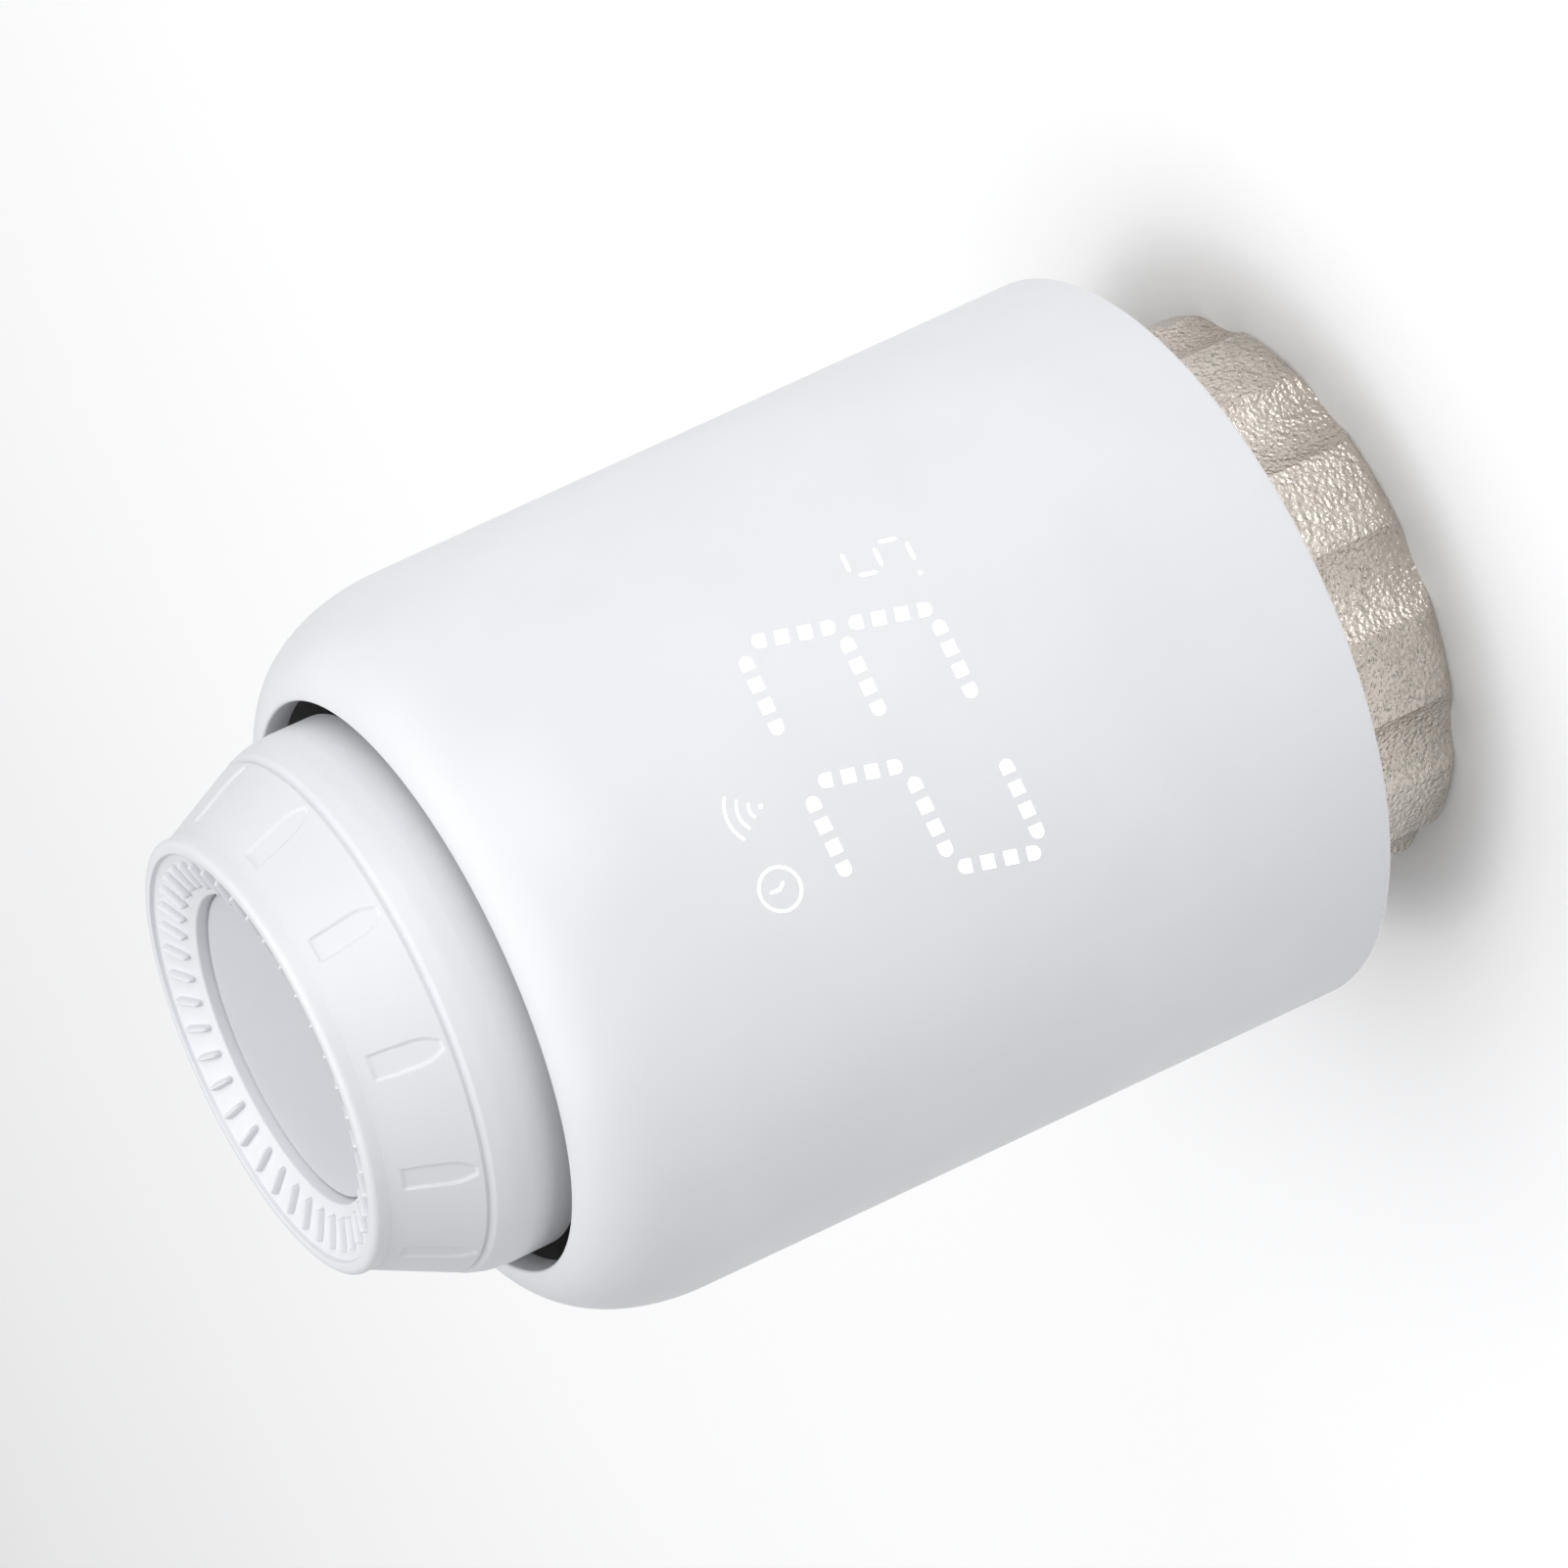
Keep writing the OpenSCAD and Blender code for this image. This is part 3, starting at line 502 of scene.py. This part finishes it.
def on_casing(x, z, lift):
    """Points of the display's flat drawing as they show on the casing. The figures stand on a flat
    board behind the round wall, so their sides sag down the wall in step with its curve."""
    r = casing_radius(z)
    z = z - WALL_SAG * (r - np.sqrt(r ** 2 - x ** 2))
    r = casing_radius(z) + lift
    return np.stack([x, -np.sqrt(r ** 2 - x ** 2), z], -1)


def patch(x, z):
    """A thin plate that follows the casing over a grid of drawing points: the outer skin, an inner
    skin below it and the edge between them."""
    rows, cols = x.shape
    skin = on_casing(x, z, GLOW_LIFT).reshape(-1, 3)
    under = on_casing(x, z, -GLOW_DEPTH).reshape(-1, 3)
    n = rows * cols
    top = grid_faces(rows, cols, wrap_cols=False)
    index = np.arange(n).reshape(rows, cols)
    rim = np.concatenate([index[0], index[1:, -1], index[-1, -2::-1], index[-2:0:-1, 0]])
    after = np.roll(rim, -1)
    edge = np.stack([rim, after, after + n, rim + n], -1)[:, ::-1]
    return outward(np.concatenate([skin, under]), [top, top[:, ::-1] + n, edge])


def dash(x, z, along, long, wide, round_start, round_end, n=9):
    """One dash of light. along is its direction, and a rounded end draws its sides in like an
    ellipse over the last half width."""
    s, t = np.meshgrid(np.linspace(-1, 1, n), np.linspace(-1, 1, 7), indexing="ij")
    u = s * long / 2
    draw = np.ones_like(u)
    for end, on in ((-1, round_start), (1, round_end)):
        if on:
            depth = np.clip((end * u - (long / 2 - wide * 0.46)) / (wide * 0.46), 0, 1)
            draw = np.where(end * s > 0, np.sqrt(1 - (0.985 * depth) ** 2), draw)
    v = t * wide / 2 * draw
    along = np.array(along) / np.hypot(*along)
    across = np.array([-along[1], along[0]])
    return patch(x + u * along[0] + v * across[0], z + u * along[1] + v * across[1])


def bar_of_light(x, z, along, pitch):
    """Four dashes in a row, the outer ends of the first and last rounded."""
    along = np.array(along, float) / np.hypot(*along)
    places = (np.arange(4) - 1.5) * pitch
    return [dash(x + p * along[0], z + p * along[1], along, DASH, DASH, i == 0, i == 3)
            for i, p in enumerate(places)]


# the bars of a figure: centre in half widths and half heights, and whether it stands
BARS = {"a": (0, 1, False), "g": (0, 0, False), "d": (0, -1, False),
        "e": (-1, -0.488, True), "b": (1, 0.448, True), "c": (1, -0.563, True)}


def figure(bars, x0):
    """A leaning figure made of the named bars."""
    shapes = []
    for bar in bars:
        across, up, stands = BARS[bar]
        z = up * DIGIT_H / 2 - MIDDLE_DROP * (1 - abs(up))
        x = x0 + across * DIGIT_W / 2 + z * SLANT
        along, pitch = (LEANING, STANDING_PITCH) if stands else (LEVEL, LYING_PITCH)
        shapes += bar_of_light(x, DIGIT_Z + z, along, pitch)
    return shapes


def arc_of_light(x, z, radius, start, end, wide, n=24):
    """A stroke of light along a circle from angle start to end, in degrees."""
    a, w = np.meshgrid(np.radians(np.linspace(start, end, n)), np.linspace(-0.5, 0.5, 3),
                       indexing="ij")
    r = radius + w * wide
    return patch(x + r * np.cos(a), z + r * np.sin(a))


def ring_of_light(x, z, radius, wide):
    """A whole circle as two half strokes that meet."""
    return [arc_of_light(x, z, radius, start, start + 180, wide, 32) for start in (0, 180)]


def stroke(x, z, along, long, wide):
    """A dash of light with both ends rounded."""
    return dash(x, z, along, long, wide, True, True)


def small_figure():
    """The decimal figure five, drawn as thin strokes, with its point before it."""
    shapes = []
    for across, up, stands in ((0, 1, 0), (-1, 0.5, 1), (0, 0, 0), (1, -0.5, 1), (0, -1, 0)):
        z = up * SMALL_H / 2
        x = SMALL_X + across * SMALL_W / 2 + z * SLANT
        shapes.append(stroke(x, SMALL_Z + z, LEANING if stands else LEVEL, 1.3, 0.25))
    return shapes + [stroke(SMALL_X - 2.09, SMALL_Z - 2.12, LEVEL, POINT, POINT)]


def wireless_icon():
    """A point and three arcs over it."""
    arcs = [arc_of_light(WAVES_X, WAVES_Z, radius, 52, 128, 0.17) for radius in (0.8, 1.6, 2.4)]
    return [stroke(WAVES_X, WAVES_Z, LEVEL, POINT, POINT)] + arcs


def clock_icon():
    """A circle and two hands."""
    hands = [stroke(CLOCK_X + 0.17, CLOCK_Z - 0.2, (0.35, -0.42), 0.6, HAND_WIDE),
             stroke(CLOCK_X, CLOCK_Z + 0.33, (0.05, 1), 0.85, HAND_WIDE)]
    return ring_of_light(CLOCK_X, CLOCK_Z, 1.4, 0.19) + hands


def display_glow():
    shapes = figure("abged", DIGITS_RIGHT - DIGIT_X) + figure("abgcd", DIGITS_RIGHT + DIGIT_X)
    shapes += small_figure() + wireless_icon() + clock_icon()
    make("display_glow", together(shapes), LIGHT, "casing", sharp=60)


# ---- knob ----------------------------------------------------------------------------------
SKIRT_R = KNOB_HIGH[0]
KNOB_TOP = KNOB_HIGH[2]
KNOB_FLOOR = CAP_LOW[2]
CONE_R0, CONE_Z0 = 18.05, 74.4
CONE_R1, CONE_Z1 = 15.35, 79.9
FACE_R = 14.35
TICK_OUT, TICK_IN = 13.85, 11.7
TICK_W, TICK_H = 0.48, 1.0
STEP_R = 10.95
RING_SLOPE = np.tan(np.radians(20))
MARKS, TICKS = 12, 40
MARK_W, MARK_LONG, MARK_DEEP = 1.85, 4.9, 0.15


def mark_depth(angle, t):
    """Depth of the marks at an angle and a distance t in mm up the cone: a flat-bottomed recess
    with parallel sides, square towards the face and drawn to a blunt tip towards the skirt."""
    pitch = TAU / MARKS
    radius = CONE_R0 + (CONE_R1 - CONE_R0) * t / 6.1
    off = (np.mod(angle - np.radians(-90), pitch) - pitch / 2) * radius
    tip = np.clip((t - 0.25) / 1.75, 0, 1)
    half = MARK_W / 2 * (0.36 + 0.64 * np.sin(tip * np.pi / 2))
    side = np.clip((half - np.abs(off)) / 0.16, 0, 1)
    ends = np.clip((t - 0.25) / 0.16, 0, 1) * np.clip((0.25 + MARK_LONG - t) / 0.16, 0, 1)
    return MARK_DEEP * side * ends


def knob():
    """The section runs from the floor's middle out under the cap, up the step, out over the tick
    ring, down the cone and skirt, and back inside to the shaft's bore."""
    shaft_r, bore_top, boss_r, under = 3.0, 75.1, 4.9, KNOB_FLOOR - 1.4
    ring_in_z = KNOB_TOP - 0.35 - (FACE_R - STEP_R) * RING_SLOPE
    top = rounded([(0, KNOB_FLOOR, 0), (STEP_R, KNOB_FLOOR, 0.15), (STEP_R, ring_in_z, 0.2),
                   (FACE_R, KNOB_TOP - 0.35, 0.2), (FACE_R + 0.1, KNOB_TOP, 0.12),
                   (CONE_R1 - 0.05, KNOB_TOP - 0.02, 0.55), (CONE_R1 + 0.35, CONE_Z1 - 0.75, 0)],
                  closed=False)[1:-1]
    cone_len = np.hypot(CONE_R0 - CONE_R1, CONE_Z1 - CONE_Z0)
    t = np.linspace(cone_len, 0, 52)
    cone = np.stack([CONE_R0 + (CONE_R1 - CONE_R0) * t / cone_len,
                     CONE_Z0 + (CONE_Z1 - CONE_Z0) * t / cone_len], -1)
    low = rounded([(*cone[-1], 0), (CONE_R0 - 0.14, CONE_Z0 - 0.22, 0.1),
                   (SKIRT_R - 0.5, CONE_Z0 - 0.6, 0.35), (SKIRT_R - 0.14, 72.7, 2.5),
                   (SKIRT_R, 71.2, 2.5),
                   (SKIRT_R, KNOB_LOW[2] + 1.8, 0.25), (SKIRT_R - 1.5, KNOB_LOW[2] + 1.8, 0.25),
                   (SKIRT_R - 1.5, 71.8, 0.6), (14.2, under - 0.2, 0.6), (12.6, under, 0.5),
                   (boss_r, under, 0.4), (boss_r, KNOB_LOW[2], 0.25),
                   (shaft_r, KNOB_LOW[2], 0.25), (shaft_r, bore_top, 0.1), (0, bore_top, 0)],
                  closed=False)[1:-1]
    section = np.concatenate([top, cone, low])
    cols = 1080
    a = angles(cols)[None]
    radius = np.repeat(section[:, :1], cols, 1)
    height = np.repeat(section[:, 1:], cols, 1)
    rows = slice(len(top), len(top) + len(cone))
    depth = mark_depth(a, t[:, None])
    lean = np.arctan2(CONE_R0 - CONE_R1, CONE_Z1 - CONE_Z0)
    radius[rows] -= depth * np.cos(lean)
    height[rows] -= depth * np.sin(lean)
    body = spun_solid(radius, height, KNOB_FLOOR, bore_top)
    ribs = around(slab((10.4, 0, 71.8), (12.6, 1.0, 3.6)), 6)
    make("knob_shell", together([body, ribs]), KNOB_WHITE, "dial", ["knob"], sharp=38)
    # raised ticks that lie on the sloping ring
    slope = np.arctan(RING_SLOPE)
    tick = pebble((TICK_OUT - TICK_IN) / np.cos(slope), TICK_W, TICK_H)
    tilt = np.array([[np.cos(slope), 0, -np.sin(slope)], [0, 1, 0],
                     [np.sin(slope), 0, np.cos(slope)]])
    middle = (TICK_OUT + TICK_IN) / 2
    z = KNOB_TOP - 0.35 - (FACE_R - middle) * RING_SLOPE
    tick = moved((tick[0] @ tilt.T, tick[1]), (middle, 0, z + 0.02))
    make("knob_ticks", around(tick, TICKS), KNOB_WHITE, "dial")


def pebble(long, wide, high):
    """A round-ended bar lying along X: a super-ellipse in plan, with its sides rolled in."""
    u = angles(20)
    plan = np.stack([np.sign(np.cos(u)) * np.abs(np.cos(u)) ** 0.25 * long / 2,
                     np.sign(np.sin(u)) * np.abs(np.sin(u)) ** 0.8 * wide / 2], -1)
    roll = np.radians(np.array([-90, -40, 0, 30, 60, 80]))[1:]
    size, z = np.cos(roll), np.sin(roll) * high / 2
    inset = (1 - size) * wide / 2
    scale = 1 - inset[:, None] / np.array([long / 2, wide / 2])
    xy = plan[None] * scale[:, None]
    rows, cols = xy.shape[:2]
    p = np.concatenate([xy, np.broadcast_to(z[:, None, None], (rows, cols, 1))], -1).reshape(-1, 3)
    p = np.concatenate([p, [[0, 0, z[0]], [0, 0, z[-1]]]])
    faces = [grid_faces(rows, cols), fan(rows * cols, np.arange(cols))[:, ::-1],
             fan(rows * cols + 1, (rows - 1) * cols + np.arange(cols))]
    return outward(p, faces)


def knob_disc():
    """The smooth disc in the knob's face: slightly dished, with a soft rim."""
    r, z0, z1 = STEP_R - 0.12, CAP_LOW[2], CAP_HIGH[2]
    s = np.linspace(0.03, 1, 24)
    dished = np.stack([s * (r - 0.35), z1 - 0.05 - 0.34 * (1 - s**2)], -1)
    side = rounded([(*dished[-1], 0), (r, z1 - 0.02, 0.18), (r, z0, 0.1), (0, z0, 0)],
                   closed=False)[1:-1]
    shape = lathe(np.concatenate([dished, side]), z1 - 0.39, z0, 256)
    make("knob_disc", shape, CAP_WHITE, "dial", ["knob_cap"])


# ---- union nut -------------------------------------------------------------------------------
NUT_R = 20.0
FLUTES = 10
FLUTE_DEPTH = 1.0
THREAD_R = 14.19
THREAD_PITCH = 1.5
THREAD_DEPTH = 0.81


def nut_outline(angle):
    """Radius of the nut round its grips: lobes on a circle, with a hollow of circular section cut
    into every second stretch."""
    half = np.pi / 2 / FLUTES
    half_w = NUT_R * np.sin(half)
    sag = FLUTE_DEPTH - NUT_R * (1 - np.cos(half))
    flute_r = (half_w**2 + sag**2) / (2 * sag)
    centre = NUT_R - FLUTE_DEPTH + flute_r
    off = np.mod(angle + half, 4 * half) - 2 * half
    inside = np.maximum(flute_r**2 - (centre * np.sin(off)) ** 2, 0)
    hollow = centre * np.cos(off) - np.sqrt(inside)
    return np.where(np.abs(off) < half, np.minimum(hollow, NUT_R), NUT_R)


def union_nut():
    """The section runs up the grips, in over the flange and down the thread, whose depth is a
    rounded saw-tooth of height less angle."""
    top, relief, flange_r = NUT_HIGH[2], THREAD_R + 0.5, 12.65
    cols = 720
    a = angles(cols)[None]
    ease = np.radians(np.linspace(0, 90, 7))
    grips = nut_outline(a)
    corner = 0.9
    low = [(np.minimum(grips, NUT_R - corner * (1 - np.sin(e))), corner * (1 - np.cos(e)))
           for e in ease]
    middle = [(grips, z) for z in np.linspace(corner, top - corner, 8)[1:-1]]
    high = [(radius, top - height) for radius, height in low[::-1]]
    plain = rounded([(18, top, 0), (flange_r, top, 0.2), (flange_r, 9.7, 0.2), (relief, 9.7, 0.2),
                     (relief, 8.25, 0.1), (THREAD_R, 8.2, 0)], closed=False)[:-1]
    z = np.linspace(8.2, 0.7, 64)
    turn = z[:, None] / THREAD_PITCH - a / TAU
    tooth = np.clip(np.abs(np.mod(turn, 1) - 0.5) * 3.2 - 0.3, 0, 1)
    fade = np.clip(np.minimum(8.1 - z, z - 0.7) / 0.4, 0, 1)[:, None]
    thread = THREAD_R + THREAD_DEPTH * tooth * fade
    mouth = [(THREAD_R + 0.05 + 0 * a, 0.66), (THREAD_R + 0.75 + 0 * a, 0.0)]
    rows = low + middle + high + [(r + 0 * a, h) for r, h in plain]
    rows += [(row[None], h) for row, h in zip(thread, z)] + mouth
    radius = np.concatenate([row for row, _ in rows])
    height = np.repeat(np.array([h for _, h in rows])[:, None], cols, 1)
    make("nut_shell", spun_ring(radius, height), NICKEL, "nut", ["union_nut"],
         sharp=24)


# ---- drive, cells and leads ------------------------------------------------------------------
def push_pin():
    """A foot, then a screw whose radius is a rounded saw-tooth of height less angle."""
    screw_r, depth = 2.9, 0.55
    cols = 96
    a = angles(cols)[None]
    foot = rounded([(0, PIN_LOW[2], 0), (5.3, PIN_LOW[2], 0.3), (5.3, PIN_LOW[2] + 1.5, 0.2),
                    (screw_r - 0.4, PIN_LOW[2] + 1.5, 0.2), (screw_r - 0.4, PIN_LOW[2] + 2.2, 0)],
                   closed=False)[1:]
    z = np.linspace(PIN_LOW[2] + 2.3, PIN_HIGH[2] - 0.3, 90)
    tooth = np.clip(np.abs(np.mod(z[:, None] / THREAD_PITCH - a / TAU, 1) - 0.5) * 3 - 0.25, 0, 1)
    fade = np.clip(np.minimum(z - z[0], z[-1] - z) / 0.4, 0, 1)[:, None]
    thread = screw_r - 0.4 + (0.4 * (1 - tooth) - (depth - 0.4) * tooth) * fade
    radius = np.concatenate([np.repeat(foot[:, :1], cols, 1), thread,
                             np.full((1, cols), screw_r - 0.9)])
    levels = np.concatenate([foot[:, 1], z, [PIN_HIGH[2]]])
    height = np.repeat(levels[:, None], cols, 1)
    # two slots in the foot's rim for the base's ribs
    slotted = np.where(np.abs(np.sin(a)) < 0.2, 4.35, 9.0)
    radius = np.where(height < PIN_LOW[2] + 1.6, np.minimum(radius, slotted), radius)
    make("pin_shell", spun_solid(radius, height, PIN_LOW[2], PIN_HIGH[2]), GLASS_FILLED, "pin",
         ["push_pin"])


CELL_R = 7.25
CELL_LONG = 50.5


def cell_at(sign):
    return np.array([sign * (CELL_HIGH[0] - CELL_R), CELL_HIGH[1] - CELL_R, 0])


def cell_jackets():
    """Two printed sleeves, each drawn over its can's ends."""
    section = rounded([(0, 0.35, 0), (5.2, 0.35, 0.1), (5.6, 0.15, 0.2), (CELL_R, 0.15, 0.5),
                       (CELL_R, CELL_LONG - 1.35, 0.7), (5.5, CELL_LONG - 1.2, 0.2),
                       (5.2, CELL_LONG - 1.5, 0.1), (0, CELL_LONG - 1.5, 0)], closed=False)[1:-1]
    shape = lathe(section, 0.35, CELL_LONG - 1.5)
    make("cell_jackets", cells(shape), JACKET, "chassis", ["battery_cells"])


def cell_metal():
    """The plated end cups: a button and a ring at one end, a shallow dome at the other."""
    button = rounded([(0, CELL_LONG, 0), (2.7, CELL_LONG, 0.35), (2.75, CELL_LONG - 1.1, 0.15),
                      (4.9, CELL_LONG - 1.25, 0.1), (5.0, CELL_LONG - 1.7, 0),
                      (0, CELL_LONG - 1.7, 0)], closed=False)[1:-1]
    dome = rounded([(0, 0, 0), (4.4, 0.02, 0.3), (5.1, 0.3, 0.15), (5.1, 0.7, 0), (0, 0.7, 0)],
                   closed=False)[1:-1]
    shape = together([lathe(button, CELL_LONG, CELL_LONG - 1.7), lathe(dome, 0, 0.7)])
    make("cell_ends", cells(shape), SPRING_STEEL, "chassis")


def cell_bands():
    """A copper-coloured band near the button end of each cell."""
    z0, z1, out = CELL_LONG - 13.5, CELL_LONG - 2.4, CELL_R + 0.02
    section = np.array([(out - 0.1, z0), (out, z0 + 0.02), (out, z1 - 0.02), (out - 0.1, z1)])
    shape = spun_section(filled(section, 2.0), 96)
    make("cell_bands", cells(shape), COPPER_PRINT, "chassis")


def cells(shape):
    """The same shape on both cells: one stands button up, the other button down."""
    foot = CELL_HIGH[2] - CELL_LONG
    points, faces = shape
    flipped = points * np.array([1, -1, -1]) + [0, 0, CELL_LOW[2] + CELL_LONG]
    return together([moved((points, faces), cell_at(-1) + [0, 0, foot]),
                     moved((flipped, faces), cell_at(1))])


def contact_springs():
    """Round wire on a flat cone: the radius falls evenly with the turn while the height rises."""
    low, high = span("battery_springs")
    t = np.linspace(0, 1, 150)
    a = t * 2.5 * TAU
    r = 5.2 - 3 * t
    path = np.stack([r * np.cos(a), r * np.sin(a), 0.35 + 0.5 * t], -1)
    one = tube(path, 0.33, 10)
    flipped = (one[0] * np.array([1, -1, -1]), one[1])
    shape = together([moved(one, cell_at(-1) + [0, 0, low[2]]),
                      moved(flipped, cell_at(1) + [0, 0, high[2]])])
    make("contact_springs", shape, SPRING_STEEL, "chassis", ["battery_springs"])


def motor_wires():
    """Two insulated wires that leave the terminals and curve down to the board."""
    low, high = span("motor_leads")
    terminals = span("motor_terminals")
    shapes = []
    for x in (terminals[0][0] + 0.6, terminals[1][0] - 0.6):
        points = [(x, high[1] - 0.4, high[2] - 0.4), (x, high[1] - 4, high[2] - 0.45),
                  (x - 0.3, high[1] - 8, high[2] - 1.7), (x - 1.2, low[1] + 3, low[2] + 1.8),
                  (x - 1.5, low[1] + 1.2, low[2] + 0.5), (x - 1.5, low[1] + 0.1, low[2] + 0.4)]
        shapes.append(tube(smooth_path(points), 0.38))
    make("motor_wires", together(shapes), RED_PVC, "chassis", ["motor_leads"])


casing()
display_glow()
knob()
knob_disc()
union_nut()
push_pin()
cell_jackets()
cell_metal()
cell_bands()
contact_springs()
motor_wires()


# ---- stage, light and camera -------------------------------------------------------------------
def floor():
    """A wide sheet that rises at the back in a quarter circle."""
    t = np.radians(np.linspace(0, 90, 24))
    bend = 400.0
    reach, height = 3000.0, 2500.0
    curve = np.stack([reach - bend + bend * np.sin(t), bend * (1 - np.cos(t))], -1)
    line = np.concatenate([[(-reach, 0)], curve, [(reach, height)]])
    x = np.array([-reach, reach])
    p = np.stack([np.repeat(x[None], len(line), 0), np.repeat(line[:, :1], 2, 1),
                  np.repeat(line[:, 1:], 2, 1)], -1).reshape(-1, 3)
    mesh = bpy.data.meshes.new("floor")
    mesh.from_pydata((p * MM).tolist(), [], grid_faces(len(line), 2, wrap_cols=False).tolist())
    f = Finish("floor_white", (0.97, 0.97, 0.972), 0.6, Emission_Strength=0.06)
    f.tint(f.noise(400, 2), (0.92, 0.92, 0.925))
    mesh.materials.append(f.material)
    sheet = bpy.data.objects.new("floor", mesh)
    bpy.context.scene.collection.objects.link(sheet)


def stand(thing, right, up, back, place):
    """Puts a lamp or a camera at a place, looking along minus back."""
    bpy.context.scene.collection.objects.link(thing)
    matrix = Matrix.Identity(4)
    for i in range(3):
        matrix[i][0], matrix[i][1], matrix[i][2] = right[i], up[i], back[i]
        matrix[i][3] = place[i] * MM
    thing.matrix_world = matrix


def area_light(name, place, aim, size, power):
    light = bpy.data.lights.new(name, "AREA")
    light.shape = "RECTANGLE"
    light.size, light.size_y = size
    light.energy = power
    away = np.array(place, float) - np.array(aim, float)
    away /= np.linalg.norm(away)
    side = np.cross([0, 0, 1.0], away)
    side /= np.linalg.norm(side)
    stand(bpy.data.objects.new(name, light), side, np.cross(away, side), away, place)


def camera():
    """Looks from azimuth -2.4 and elevation 21 degrees, rolled so that the knob points down and
    left."""
    azimuth, elevation, roll = np.radians([-2.362, 20.945, -114.722])
    away = np.array([np.sin(azimuth) * np.cos(elevation), -np.cos(azimuth) * np.cos(elevation),
                     np.sin(elevation)])
    level = np.array([np.cos(azimuth), np.sin(azimuth), 0])
    upright = np.cross(away, level)
    right = np.cos(roll) * level + np.sin(roll) * upright
    up = -np.sin(roll) * level + np.cos(roll) * upright
    aim = np.array([1.936, -0.278, 39.982])
    distance = 463.3
    eye = bpy.data.cameras.new("camera")
    eye.lens = 159.6
    eye.sensor_width = 36.0
    eye.clip_start = 0.01
    body = bpy.data.objects.new("camera", eye)
    stand(body, right, up, away, aim + distance * away)
    bpy.context.scene.camera = body


def studio():
    world = bpy.data.worlds.new("studio")
    world.use_nodes = True
    background = world.node_tree.nodes["Background"]
    background.inputs["Color"].default_value = (0.97, 0.98, 1.0, 1.0)
    background.inputs["Strength"].default_value = 0.31
    bpy.context.scene.world = world
    bpy.context.scene.view_settings.view_transform = "Standard"
    middle = (0, 0, 40)
    area_light("key", (360, -740, 170), middle, (0.7, 0.9), 4.3)
    area_light("top", (60, -40, 800), middle, (1.0, 1.0), 6.35)


floor()
studio()
camera()
